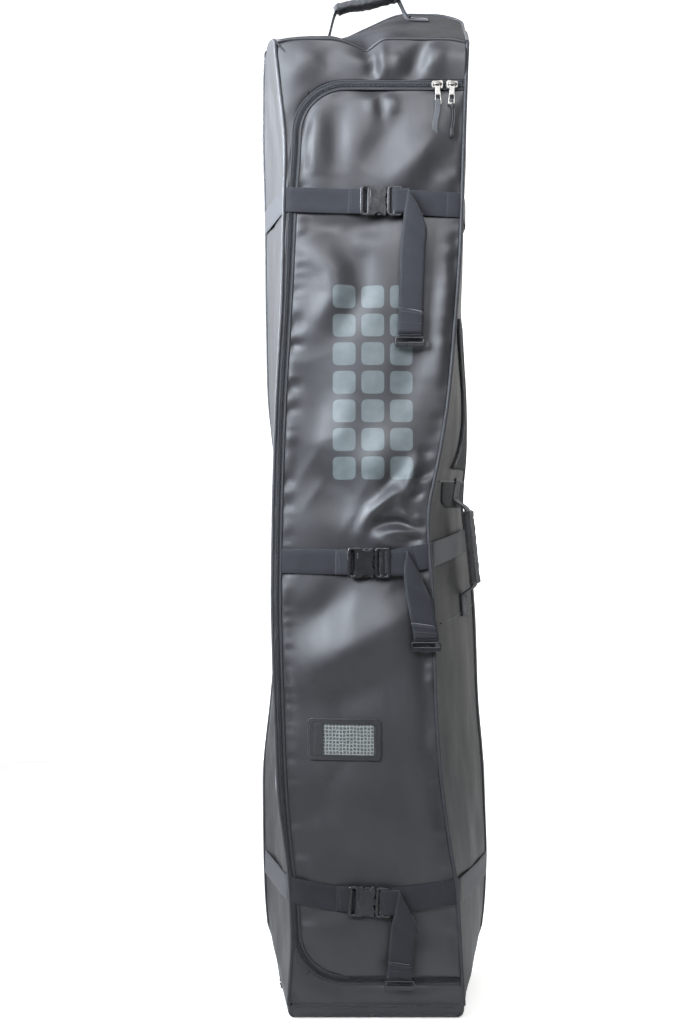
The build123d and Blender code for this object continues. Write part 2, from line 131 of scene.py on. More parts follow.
back_right = curve((0, 160), (20, 166), (60, 184), (110, 196), (216, 204), (366, 201),
                   (465, 191), (600, 186), (700, 178), (789, 160), (863, 168), (963, 164),
                   (1129, 147), (1245, 144), (1377, 148), (1527, 150), (1610, 152))
back_turn = curve((0, 0), (110, 0), (490, -8), (720, -12), (949, -5), (1300, 5), (1610, 5))


def back_half(z):
    return BACK_HALF_BASE + (BACK_HALF_TOP - BACK_HALF_BASE) * z / BACK_HEIGHT


def half_width(y, z):
    """Half width of the straight bag."""
    return FRONT_HALF + (back_half(z) - FRONT_HALF) * (y - FRONT_Y) / DEPTH


def slouch(points):
    """Moves straight points, as an array of (x, y, z), to where the slouched bag has them."""
    points = np.asarray(points, float)
    x, y, z = points[..., 0], points[..., 1], points[..., 2]
    t = (y - FRONT_Y) / DEPTH
    share = x / half_width(y, z)
    flat = share * FRONT_HALF
    s, m, h = seam_x(z), zip_x(z), hinge_x(z)
    left = s + (flat + FRONT_HALF) / (ZIP_LEFT + FRONT_HALF) * (m - s)
    right = m + (flat - ZIP_LEFT) / (HINGE_X - ZIP_LEFT) * (h - m)
    front_x = np.where(flat < ZIP_LEFT, left, right)
    u = (share + 1) / 2
    front_y = seam_y(z) + (hinge_y(z) - seam_y(z)) * u
    back_x = back_left(z) + (back_right(z) - back_left(z)) * u
    rear_y = BACK_Y + back_turn(z) * (2 * u - 1)
    out = np.empty_like(points)
    out[..., 0] = (1 - t) * front_x + t * back_x
    out[..., 1] = (1 - t) * front_y + t * rear_y
    out[..., 2] = z
    return out


def slope_z(y):
    """Height of the sloping top at a depth."""
    return FRONT_HEIGHT + (y - FRONT_Y) / DEPTH * (BACK_HEIGHT - FRONT_HEIGHT)


def boot_z(y):
    """Height of the base boot's edge at a depth."""
    return BOOT_FRONT + (y - FRONT_Y) / DEPTH * (BOOT_BACK - BOOT_FRONT)


# ======================================================================================
# Small tools
# ======================================================================================
def smooth(x):
    x = np.clip(x, 0, 1)
    return x * x * (3 - 2 * x)


def hump(x, width):
    return np.exp(-(np.asarray(x) / width) ** 2)


def lattice_noise(u, v, seed):
    """Smooth value noise in two dimensions, -1 to 1."""
    table = np.random.default_rng(seed).uniform(-1, 1, (64, 64))
    i, j = np.floor(u).astype(int), np.floor(v).astype(int)
    a, b = smooth(u - i), smooth(v - j)
    i, j, k, m = i % 64, j % 64, (i + 1) % 64, (j + 1) % 64
    low = table[i, j] * (1 - a) + table[k, j] * a
    high = table[i, m] * (1 - a) + table[k, m] * a
    return low * (1 - b) + high * b


def tag(mesh, name, values):
    """Stores a position-like attribute that the materials read."""
    layer = mesh.attributes.get(name) or mesh.attributes.new(name, "FLOAT_VECTOR", "POINT")
    layer.data.foreach_set("vector", np.asarray(values, np.float32).ravel())


def coords(mesh):
    co = np.empty(len(mesh.vertices) * 3, np.float32)
    mesh.vertices.foreach_get("co", co)
    return co.reshape(-1, 3).astype(float)


def set_coords(mesh, co):
    mesh.vertices.foreach_set("co", np.asarray(co, np.float32).ravel())
    mesh.update()


def rework(mesh, work):
    """Opens a mesh for work, a function of its bmesh."""
    bm = bmesh.new()
    bm.from_mesh(mesh)
    work(bm)
    bm.to_mesh(mesh)
    bm.free()


def turn_out(bm):
    """Makes the faces point out of the closed piece."""
    bmesh.ops.recalc_face_normals(bm, faces=bm.faces)


def split_long(bm, length, rounds, corners, **how):
    """Splits edges longer than length, and the faces that then have more corners."""
    for _ in range(rounds):
        long = [e for e in bm.edges if e.calc_length() > length]
        if not long:
            break
        bmesh.ops.subdivide_edges(bm, edges=long, cuts=1, **how)
        bmesh.ops.triangulate(bm, faces=[f for f in bm.faces if len(f.verts) > corners])


def shade(mesh, soft=True):
    """Shades all faces soft, or all of them flat."""
    mesh.polygons.foreach_set("use_smooth", [soft] * len(mesh.polygons))


def link(name, data):
    obj = bpy.data.objects.new(name, data)
    scene.collection.objects.link(obj)
    return obj


def evaluated_mesh(obj):
    deps = bpy.context.evaluated_depsgraph_get()
    return bpy.data.meshes.new_from_object(obj.evaluated_get(deps), depsgraph=deps)


def run_along(path):
    """Distance from the start of a path to each of its points."""
    return np.concatenate([[0], np.cumsum(np.linalg.norm(np.diff(path, axis=0), axis=1))])


def unit(vectors, spare=0.0):
    """The vectors at length one; spare keeps an empty one from a division by zero."""
    return vectors / (np.linalg.norm(vectors, axis=-1)[..., None] + spare)


def place_xz(x, z, y=FRONT_Y):
    """Points at x and z, in the plane of the straight front if y is not given."""
    return np.stack(np.broadcast_arrays(x, y, z), -1)


def mirrored(half):
    """Adds the other half of an outline, from its end back to its start."""
    return half + [(u, -v) for u, v in half[::-1]]


def make_object(name, verts, faces, flat=None):
    mesh = bpy.data.meshes.new(name)
    mesh.from_pydata([tuple(v) for v in verts], [], [tuple(f) for f in faces])
    mesh.validate()
    tag(mesh, "flat", verts if flat is None else flat)
    shade(mesh)
    return link(name, mesh)


def grid_object(name, points, flat, loop=False):
    """A sheet from a grid of points, rows by columns; loop joins the last column to the first."""
    rows, cols = points.shape[:2]
    faces = []
    for r in range(rows - 1):
        for c in range(cols if loop else cols - 1):
            d = (c + 1) % cols
            faces.append((r * cols + c, r * cols + d, (r + 1) * cols + d, (r + 1) * cols + c))
    return make_object(name, points.reshape(-1, 3), faces, flat.reshape(-1, 3))


def bake(obj):
    """Applies the object's modifiers."""
    mesh = evaluated_mesh(obj)
    obj.modifiers.clear()
    obj.data = mesh
    return obj


def refine(obj):
    mod = obj.modifiers.new("refine", "SUBSURF")
    mod.levels = mod.render_levels = 1
    mod.boundary_smooth = "PRESERVE_CORNERS"
    return bake(obj)


def thicken(obj, depth=COVER, offset=-1.0):
    mod = obj.modifiers.new("thick", "SOLIDIFY")
    mod.thickness = depth
    mod.offset = offset
    mod.use_even_offset = False
    return bake(obj)


def outward(obj, direction):
    """Flips the sheet if its faces point against the direction on average."""
    normals = np.array([p.normal for p in obj.data.polygons])
    if (normals @ np.array(direction)).sum() < 0:
        obj.data.flip_normals()
    return obj


def path_axes(path, side):
    """Across and out vectors at each point of a path; side is roughly the across vector."""
    ahead = unit(np.gradient(path, axis=0), 1e-12)
    side = np.broadcast_to(np.asarray(side, float), path.shape)
    side = unit(side - ahead * (side * ahead).sum(1)[:, None], 1e-12)
    return side, np.cross(side, ahead)


def sweep(name, path, side, section):
    """Sweeps a closed section of (across, out) offsets along a path; side is the across vector."""
    path = np.asarray(path, float)
    side, out = path_axes(path, side)
    run = run_along(path)
    n, m = len(path), len(section)
    verts, flat = [], []
    for i in range(n):
        for a, b in section:
            verts.append(path[i] + side[i] * a + out[i] * b)
            flat.append((a, b, run[i]))
    faces = [(i * m + j, i * m + m + j, i * m + m + (j + 1) % m, i * m + (j + 1) % m)
             for i in range(n - 1) for j in range(m)]
    faces += [tuple(range(m)), tuple(range(n * m - 1, (n - 1) * m - 1, -1))]
    obj = make_object(name, verts, faces, flat)
    rework(obj.data, turn_out)
    return obj


def ring(radius, sides=10):
    angles = [2 * math.pi * k / sides for k in range(sides)]
    return [(radius * math.cos(a), radius * math.sin(a)) for a in angles]


def tube(name, path, radius, sides=8):
    path = np.asarray(path, float)
    ahead = path[-1] - path[0]
    side = (0, 1, 0) if abs(ahead[1]) < 0.7 * np.linalg.norm(ahead) else (1, 0, 0)
    return sweep(name, path, side, ring(radius, sides))


def band_section(width, thick):
    """Cross-section of webbing: flat, with rounded selvedges."""
    w, t = width / 2, thick / 2
    half = [(w - t, -t), (w - 0.3 * t, -0.7 * t), (w, 0), (w - 0.3 * t, 0.7 * t), (w - t, t),
            (0.5 * w, t), (0, t), (-0.5 * w, t)]
    return half + [(-a, -b) for a, b in half]


def even(path, count):
    """The same path given by count points at equal distances."""
    run = run_along(path)
    at = np.linspace(0, run[-1], count)
    return np.stack([np.interp(at, run, path[:, k]) for k in range(path.shape[1])], 1)


def resample(path, step):
    path = np.asarray(path, float)
    return even(path, max(3, int(run_along(path)[-1] / step) + 1))


def soften(path, rounds):
    path = np.array(path, float)
    for _ in range(rounds):
        path[1:-1] = 0.25 * path[:-2] + 0.5 * path[1:-1] + 0.25 * path[2:]
    return path


def join(name, objects):
    with bpy.context.temp_override(active_object=objects[0], object=objects[0],
                                   selected_objects=objects,
                                   selected_editable_objects=objects):
        bpy.ops.object.join()
    objects[0].name = name
    objects[0].data.name = name
    return objects[0]


def cut_plate(name, outline, holes, depth, bevel, place):
    """A plate with rounded edges and holes.  outline and holes are lists of (u, v)."""
    data = bpy.data.curves.new(name, "CURVE")
    data.dimensions = "2D"
    data.fill_mode = "BOTH"
    data.extrude = depth / 2 - bevel
    data.bevel_depth = bevel
    data.bevel_resolution = 2
    data.offset = -bevel
    for points in [outline] + list(holes):
        spline = data.splines.new("POLY")
        spline.points.add(len(points) - 1)
        for p, (u, v) in zip(spline.points, points):
            p.co = (u, v, 0, 1)
        spline.use_cyclic_u = True
    shape = link(name + "_curve", data)
    mesh = evaluated_mesh(shape)
    bpy.data.objects.remove(shape)
    mesh.transform(place)
    rework(mesh, lambda bm: bmesh.ops.remove_doubles(bm, verts=bm.verts, dist=1e-6))
    rework(mesh, turn_out)
    tag(mesh, "flat", coords(mesh))
    return link(name, mesh)


def soft_box(name, low, high, bevel, place):
    """A block with rounded edges between two corners, then placed."""
    bm = bmesh.new()
    bmesh.ops.create_cube(bm, size=1)
    low, high = Vector(low), Vector(high)
    size, mid = high - low, (high + low) / 2
    for v in bm.verts:
        v.co = Vector((v.co.x * size.x, v.co.y * size.y, v.co.z * size.z)) + mid
    bmesh.ops.bevel(bm, geom=bm.edges[:], offset=bevel, segments=2, profile=0.5, affect="EDGES")
    mesh = bpy.data.meshes.new(name)
    bm.to_mesh(mesh)
    bm.free()
    mesh.transform(place)
    shade(mesh)
    tag(mesh, "flat", coords(mesh))
    return link(name, mesh)


def rounded(w, h, r, steps=4, cx=0.0, cy=0.0):
    """Outline of a rectangle with rounded corners."""
    points = []
    for sx, sy, start in ((1, 1, 0), (-1, 1, 90), (-1, -1, 180), (1, -1, 270)):
        for k in range(steps + 1):
            a = math.radians(start + 90 * k / steps)
            points.append((cx + sx * (w / 2 - r) + r * math.cos(a),
                           cy + sy * (h / 2 - r) + r * math.sin(a)))
    return points


def done(obj, material, body, slot, *nodes):
    """Gives a piece its material and body, and hides the CAD nodes it stands for."""
    obj.data.materials.clear()
    obj.data.materials.append(material)
    if nodes:
        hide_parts(*nodes)
    if body:
        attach(obj, body)
    return obj


# ======================================================================================
# Materials
# ======================================================================================
class Nodes:
    """Short names for building a node tree."""

    def __init__(self, name, solid=False):
        self.solid = solid
        self.mat = bpy.data.materials.new(name)
        self.mat.use_nodes = True
        self.tree = self.mat.node_tree
        self.bsdf = self.tree.nodes["Principled BSDF"]

    def add(self, kind, **values):
        node = self.tree.nodes.new("ShaderNode" + kind)
        for key, value in values.items():
            if hasattr(node, key):
                setattr(node, key, value)
            else:
                node.inputs[key.replace("_", " ")].default_value = value
        return node

    def link(self, source, target):
        self.tree.links.new(source, target)
        return target

    def stored(self, name):
        return self.add("Attribute", attribute_name=name).outputs["Vector"]

    def flat(self, scale=(1, 1, 1)):
        """The piece's own coordinates, scaled; of a solid piece, its place in space."""
        mapping = self.add("Mapping", Scale=scale)
        source = self.add("TexCoord").outputs["Object"] if self.solid else self.stored("flat")
        self.link(source, mapping.inputs["Vector"])
        return mapping.outputs["Vector"]

    def parts(self, vector=None):
        """The three parts of a vector, or of the flat coordinates."""
        split = self.add("SeparateXYZ")
        self.link(vector or self.flat(), split.inputs[0])
        return split.outputs

    def noise(self, scale, detail, rough=0.55, squeeze=(1, 1, 1)):
        node = self.add("TexNoise", Scale=scale, Detail=detail, Roughness=rough)
        self.link(self.flat(squeeze), node.inputs["Vector"])
        return node.outputs["Fac"]

    def patchy(self, scale, detail, low=0.0, high=1.0):
        """Noise spread from low to high."""
        return self.ramp(self.noise(scale, detail), 0.3, 0.7, low, high)

    def cells(self, scale, squeeze=(1, 1, 1), **values):
        node = self.add("TexVoronoi", Scale=scale, **values)
        self.link(self.flat(squeeze), node.inputs["Vector"])
        return node.outputs["Distance"]

    def math(self, kind, a, b=0.0, clamp=False):
        node = self.add("Math", operation=kind)
        node.use_clamp = clamp
        for value, socket in ((a, node.inputs[0]), (b, node.inputs[1])):
            if isinstance(value, (int, float)):
                socket.default_value = value
            else:
                self.link(value, socket)
        return node.outputs[0]

    def ramp(self, value, low, high, to_low=0.0, to_high=1.0):
        node = self.add("MapRange", From_Min=low, From_Max=high, To_Min=to_low, To_Max=to_high)
        self.link(value, node.inputs["Value"])
        return node.outputs["Result"]

    def mix(self, fac, a, b):
        node = self.add("Mix", data_type="RGBA")
        self.link(fac, node.inputs[0])
        for value, socket in ((a, node.inputs[6]), (b, node.inputs[7])):
            if hasattr(value, "links"):
                self.link(value, socket)
            else:
                socket.default_value = (*value, 1)
        return node.outputs[2]

    def wave(self, axis, per_metre):
        """A sine of given cycles per metre along an axis of the flat coordinates, 0 to 1."""
        angle = self.math("MULTIPLY", self.parts()[axis], per_metre * 2 * math.pi)
        swing = self.math("MULTIPLY", self.math("SINE", angle), 0.5)
        return self.math("ADD", swing, 0.5)

    def bump(self, height, strength, distance, under=None):
        node = self.add("Bump", Strength=strength, Distance=distance)
        self.link(height, node.inputs["Height"])
        if under is not None:
            self.link(under, node.inputs["Normal"])
        return node.outputs["Normal"]

    def finish(self, color, rough, normal=None, **values):
        """Fills in the inputs of the main shader, each with a number or a node's output."""
        values.update(Base_Color=color, Roughness=rough)
        if normal is not None:
            values["Normal"] = normal
        for key, value in values.items():
            socket = self.bsdf.inputs[key.replace("_", " ")]
            if hasattr(value, "links"):
                self.link(value, socket)
            else:
                socket.default_value = value
        return self.mat


def tone(base, factor):
    """A colour made lighter or darker by a factor."""
    return tuple(min(1, c * factor) for c in base)


def laminate(name, base=(0.0245, 0.0245, 0.0275), rough=0.50, mark=False):
    """Coated tarpaulin: a smooth film over a coarse base cloth that shows through it."""
    n = Nodes(name)
    cloth = n.math("MULTIPLY", n.wave(0, 850), n.wave(2, 850))
    fine = n.noise(900, 2)
    streak = n.noise(40, 4, squeeze=(1.0, 1.0, 0.25))
    color = n.mix(n.patchy(7, 4), tone(base, 0.80), tone(base, 1.22))
    scuff = n.ramp(n.noise(160, 6, 0.7), 0.69, 0.78)
    color = n.mix(n.math("MULTIPLY", scuff, 0.10), color, (0.20, 0.21, 0.23))
    dust = n.ramp(n.cells(34), 0.0, 0.020, 1.0, 0.0)
    color = n.mix(n.math("MULTIPLY", dust, 0.40, True), color, (0.30, 0.31, 0.32))
    roughness = n.ramp(streak, 0.3, 0.7, rough - 0.05, rough + 0.07)
    if mark:
        mask = mark_mask(n)
        ink = n.mix(n.patchy(60, 3), (0.078, 0.096, 0.099), (0.105, 0.124, 0.128))
        color = n.mix(mask, color, ink)
    normal = n.bump(cloth, 0.22, 0.00025)
    normal = n.bump(fine, 0.10, 0.0002, normal)
    normal = n.bump(n.noise(55, 4), 0.10, 0.0018, normal)
    return n.finish(color, roughness, normal, Specular_IOR_Level=0.62, Coat_Weight=0.12,
                    Coat_Roughness=0.50)


TILE_PITCH = 0.0435


def mark_mask(n):
    """A plain geometric print: rows of equal rounded tiles."""
    place = n.parts(n.stored("place"))
    inside, power = None, None
    for axis, low, count in ((0, -0.069, 3), (2, 0.822, 7)):
        steps = n.math("DIVIDE", n.math("SUBTRACT", place[axis], low), TILE_PITCH)
        within = n.math("MULTIPLY", n.math("GREATER_THAN", steps, 0), n.math("LESS_THAN", steps, count))
        off = n.math("ABSOLUTE", n.math("SUBTRACT", n.math("FRACT", steps), 0.5))
        raised = n.math("POWER", n.math("MULTIPLY", off, 2.5), 5)
        inside = within if inside is None else n.math("MULTIPLY", inside, within)
        power = raised if power is None else n.math("ADD", power, raised)
    return n.math("MULTIPLY", inside, n.ramp(power, 0.92, 1.08, 1, 0))


def webbing(name, base=(0.015, 0.016, 0.020)):
    """Nylon webbing: ribs across its width and a fine twill."""
    n = Nodes(name)
    ribs = n.wave(2, 620)
    across, _, along = n.parts()
    diagonal = n.math("ADD", n.math("ABSOLUTE", across), along)
    twill = n.math("SINE", n.math("MULTIPLY", diagonal, 2 * math.pi * 420))
    height = n.math("ADD", n.math("MULTIPLY", ribs, 0.7), n.math("MULTIPLY", twill, 0.25))
    fuzz = n.noise(1300, 3)
    color = n.mix(n.patchy(30, 4), tone(base, 0.8), tone(base, 1.35))
    # The rib crests are painted lighter than the grooves: a painted highlight on the raised ribs.
    color = n.mix(n.math("MULTIPLY", ribs, 0.35), color, tone(base, 1.8))
    normal = n.bump(height, 0.55, 0.0003)
    normal = n.bump(fuzz, 0.2, 0.0002, normal)
    return n.finish(color, n.ramp(fuzz, 0.3, 0.7, 0.68, 0.82), normal, Sheen_Weight=0.25,
                    Sheen_Roughness=0.45, Specular_IOR_Level=0.35)


def weave(name, base, cells=700, rough=0.75, depth=0.0003):
    """A plain woven cloth."""
    n = Nodes(name)
    over = n.math("MULTIPLY", n.wave(0, cells), n.wave(2, cells))
    under = n.math("MULTIPLY", n.wave(1, cells), n.wave(2, cells * 0.5))
    height = n.math("MAXIMUM", over, under)
    color = n.mix(n.patchy(25, 4), tone(base, 0.75), tone(base, 1.25))
    # The raised threads are painted lighter than the gaps between them: a painted highlight on the
    # crests and painted shade in the gaps.
    color = n.mix(n.math("MULTIPLY", height, 0.4), color, tone(base, 1.7))
    normal = n.bump(height, 0.6, depth)
    return n.finish(color, n.patchy(200, 3, rough - 0.08, rough + 0.08), normal,
                    Sheen_Weight=0.2, Sheen_Roughness=0.5)


def mesh_cloth(name):
    """Open honeycomb knit, used on the gussets of the right side."""
    n = Nodes(name)
    holes = n.ramp(n.cells(420, feature="DISTANCE_TO_EDGE"), 0.08, 0.3, 1, 0)
    # The holes of the knit are painted near black, darker than the panel under them: partly the dark
    # panel seen through them, partly painted shade in the holes.
    color = n.mix(holes, (0.006, 0.006, 0.007), (0.026, 0.027, 0.029))
    return n.finish(color, 0.85, n.bump(holes, 0.7, 0.0006))


def plastic(name, base, rough, grain=0.12, coat=0.0, solid=False):
    n = Nodes(name, solid)
    speck = n.noise(1500, 2)
    wear = n.ramp(n.noise(120, 5, 0.7), 0.62, 0.75)
    color = n.mix(n.math("MULTIPLY", wear, 0.25), base, tuple(min(1, c * 3 + 0.02) for c in base))
    normal = n.bump(speck, grain, 0.0002)
    return n.finish(color, n.patchy(90, 4, rough - 0.06, rough + 0.09), normal,
                    Coat_Weight=coat, Coat_Roughness=0.2)


def metal(name, base, rough, solid=False):
    n = Nodes(name, solid)
    tarnish = n.ramp(n.noise(260, 5), 0.35, 0.75)
    color = n.mix(tarnish, base, tone(base, 0.72))
    return n.finish(color, n.patchy(500, 4, rough - 0.05, rough + 0.12),
                    n.bump(n.noise(700, 3), 0.08, 0.0002), Metallic=1.0)


def honeycomb(name):
    """Card with a light honeycomb print."""
    n = Nodes(name)
    cells = n.cells(190, (1, 0, 1), feature="DISTANCE_TO_EDGE", Randomness=0.25)
    line = n.ramp(cells, 0.10, 0.20, 1, 0)
    color = n.mix(line, (0.085, 0.092, 0.090), (0.36, 0.39, 0.38))
    return n.finish(color, 0.4, n.bump(line, 0.4, 0.0003))


def clear_vinyl(name):
    n = Nodes(name)
    haze = n.ramp(n.noise(80, 5), 0.3, 0.75, 0.04, 0.16)
    shine = n.add("BsdfGlossy", Roughness=0.12)
    n.link(n.bump(n.noise(35, 2), 0.25, 0.002), shine.inputs["Normal"])
    blend = n.add("MixShader")
    for k, source in enumerate((haze, n.add("BsdfTransparent").outputs[0], shine.outputs[0])):
        n.link(source, blend.inputs[k])
    n.link(blend.outputs[0], n.tree.nodes["Material Output"].inputs["Surface"])
    return n.mat


def foam_skin(name):
    n = Nodes(name)
    quilt = n.math("MULTIPLY", n.wave(1, 18), n.wave(2, 18))
    color = n.mix(n.patchy(20, 4), (0.085, 0.087, 0.092), (0.13, 0.133, 0.14))
    normal = n.bump(quilt, 0.4, 0.004)
    return n.finish(color, 0.8, n.bump(n.noise(900, 2), 0.4, 0.0003, normal), Sheen_Weight=0.2)


M = {
    "laminate": laminate("coated_laminate"),
    "lid": laminate("coated_laminate_lid", mark=True),
    # The sides and back use a darker copy of the front's laminate: painted shade on these panels.
    "side": laminate("coated_laminate_side", base=(0.0165, 0.0160, 0.0170), rough=0.50),
    "boot": laminate("boot_laminate", base=(0.022, 0.023, 0.027), rough=0.50),
    "webbing": webbing("nylon_webbing"),
    "thread": weave("stitching_thread", (0.045, 0.046, 0.052), 2000, 0.8),
    "piping": weave("piping_tape", (0.018, 0.019, 0.023), 900, 0.5),
    "tape": weave("zip_tape_cloth", (0.018, 0.021, 0.025), 800, 0.6),
    "coil": plastic("zip_coil", (0.010, 0.011, 0.013), 0.42),
    "grip": weave("grip_cloth", (0.034, 0.034, 0.037), 500, 0.55, 0.0005),
    "gusset": mesh_cloth("gusset_knit"),
    "lining": weave("lining_cloth", (0.10, 0.10, 0.11), 450, 0.8),
    "foam": foam_skin("quilted_lining"),
    "buckle": plastic("buckle_acetal", (0.014, 0.014, 0.016), 0.24, 0.05, 0.35),
    "loop": plastic("loop_acetal", (0.016, 0.016, 0.018), 0.3, 0.05, 0.2),
    "nickel": metal("nickel", (0.30, 0.285, 0.265), 0.42),
    "steel": metal("zinc_steel", (0.55, 0.55, 0.56), 0.35, True),
    "rail": plastic("skid_plastic", (0.030, 0.030, 0.033), 0.5, 0.3),
    "housing": plastic("housing_plastic", (0.022, 0.022, 0.025), 0.55, 0.35, 0.0, True),
    "tyre": plastic("wheel_polyurethane", (0.018, 0.018, 0.020), 0.6, 0.25, 0.0, True),
    "frame": weave("window_binding", (0.010, 0.010, 0.012), 700, 0.6),
    "card": honeycomb("window_card"),
    "vinyl": clear_vinyl("window_vinyl"),
    "sheet": plastic("back_sheet_plastic", (0.05, 0.05, 0.055), 0.5, 0.2),
    "ribbon": weave("pull_ribbon", (0.050, 0.053, 0.058), 900, 0.6),
    "cord": weave("pull_cord_cloth", (0.018, 0.018, 0.020), 1400, 0.7),
}


# ======================================================================================
# Sheets of the cover
# ======================================================================================
def front_normal(z):
    """Unit outward direction of the slouched front face at each height."""
    dx, dy = hinge_x(z) - seam_x(z), hinge_y(z) - seam_y(z)
    length = np.hypot(dx, dy)
    return np.stack([dy / length, -dx / length, np.zeros_like(dx)], -1)


def outline_left(z, grow):
    """Left limit of the zip's outline, grown by grow, at each height."""
    radius = ZIP_CORNER + grow
    top, bottom = ZIP_TOP + grow - radius, ZIP_BOTTOM - grow + radius
    over = np.clip(np.maximum(z - top, bottom - z), 0, radius)
    return ZIP_LEFT - grow + radius - np.sqrt(np.maximum(radius ** 2 - over ** 2, 0))


def zip_outline(grow, step=0.005, right=0.134):
    """The zip's outline as flat (x, z) points: along the top, round the left, along the foot."""
    radius = ZIP_CORNER + grow
    left, top, bottom = ZIP_LEFT - grow, ZIP_TOP + grow, ZIP_BOTTOM - grow
    turns = [(left + radius + radius * math.cos(a), top - radius + radius * math.sin(a))
             for a in np.linspace(math.pi / 2, math.pi, 24)]
    foot = [(left + radius + radius * math.cos(a), bottom + radius + radius * math.sin(a))
            for a in np.linspace(math.pi, 1.5 * math.pi, 24)]
    return resample([(right, top)] + turns + foot + [(right, bottom)], step)


def sag(points):
    """The dents of the top edge: a V-shaped dip in front, and the slack left shoulder."""
    points = np.array(points, float)
    x, y, z = points[..., 0], points[..., 1], points[..., 2]
    deep = (y - FRONT_Y) / DEPTH
    near_top = smooth((z - (slope_z(y) - 0.05)) / 0.05)
    left = np.clip(1 - (-0.012 - x) / 0.055, 0, 1) * (x <= -0.012)
    right = np.clip(1 - (x + 0.012) / 0.028, 0, 1) * (x > -0.012)
    vee = (left ** 1.6 + right ** 1.3) * np.clip(1 - deep / 0.55, 0, 1)
    shoulder = smooth((0.055 - x) / 0.17) * smooth(deep / 0.9)
    corner = hump(x + 0.165, 0.030) + hump(x - 0.150, 0.022)
    points[..., 2] -= near_top * (0.017 * vee + 0.056 * shoulder + 0.006 * corner)
    points[..., 1] += near_top * 0.010 * vee
    points[..., 2] += near_top * 0.007 * smooth((deep - 0.5) / 0.5) * smooth(x / 0.06)
    return points


CLOTH_FRAMES = 20


def drape(obj, rest, pin, pressure, cap):
    """Runs the cloth simulation on a sheet and keeps its result; pin is a weight per vertex."""
    start = coords(obj.data)
    obj.shape_key_add(name="Basis")
    key = obj.shape_key_add(name="rest")
    key.data.foreach_set("co", np.asarray(rest, np.float32).ravel())
    key.value = 0.0
    group = obj.vertex_groups.new(name="pin")
    for level in np.unique(np.round(pin, 2)):
        if level > 0:
            group.add(np.nonzero(np.round(pin, 2) == level)[0].tolist(), float(level), "REPLACE")
    mod = obj.modifiers.new("cloth", "CLOTH")
    s = mod.settings
    s.quality = 6
    s.mass = 0.25
    s.air_damping = 4.0
    s.tension_stiffness = s.compression_stiffness = 12.0
    s.shear_stiffness = 4.8
    s.bending_stiffness = 0.6
    s.tension_damping = s.compression_damping = 8.0
    s.vertex_group_mass = "pin"
    s.pin_stiffness = 4.0
    s.use_pressure = True
    s.uniform_pressure_force = pressure
    s.effector_weights.gravity = 0
    s.rest_shape_key = key
    mod.point_cache.frame_start = 1
    mod.point_cache.frame_end = CLOTH_FRAMES
    for number in range(1, CLOTH_FRAMES + 1):
        scene.frame_set(number)
    deps = bpy.context.evaluated_depsgraph_get()
    moved = coords(obj.evaluated_get(deps).data)
    scene.frame_set(1)
    obj.modifiers.clear()
    obj.shape_key_clear()
    step = moved - start
    length = np.linalg.norm(step, axis=1)[:, None] + 1e-9
    step *= np.minimum(1, cap / length)
    set_coords(obj.data, start + step)
    obj.vertex_groups.clear()
    return obj


def relax(points, rounds):
    """Smooths a grid of points a little, leaving its border where it is."""
    for _ in range(rounds):
        inner = 0.25 * (points[:-2, 1:-1] + points[2:, 1:-1] + points[1:-1, :-2] + points[1:-1, 2:])
        points[1:-1, 1:-1] = 0.5 * (points[1:-1, 1:-1] + inner)
    return points


def draped_sheet(name, flat, start, rest, pressure, cap, rounds, held=0.0):
    """A sheet pinned along its border and draped; returns it with its grid of points."""
    pin = np.zeros(flat.shape[:2])
    pin[0], pin[-1], pin[:, 0], pin[:, -1] = 1, 1, 1, 1
    obj = grid_object(name, start, flat)
    drape(obj, rest.reshape(-1, 3), np.maximum(pin, held).ravel(), pressure, cap)
    return obj, relax(coords(obj.data).reshape(flat.shape), rounds)


def finish_sheet(obj, points, out, material, body, *nodes):
    """Gives the sheet its final points, a finer mesh, thickness and material."""
    set_coords(obj.data, points.reshape(-1, 3))
    outward(obj, out)
    refine(obj)
    thicken(obj)
    return done(obj, material, body, "laminate", *nodes)


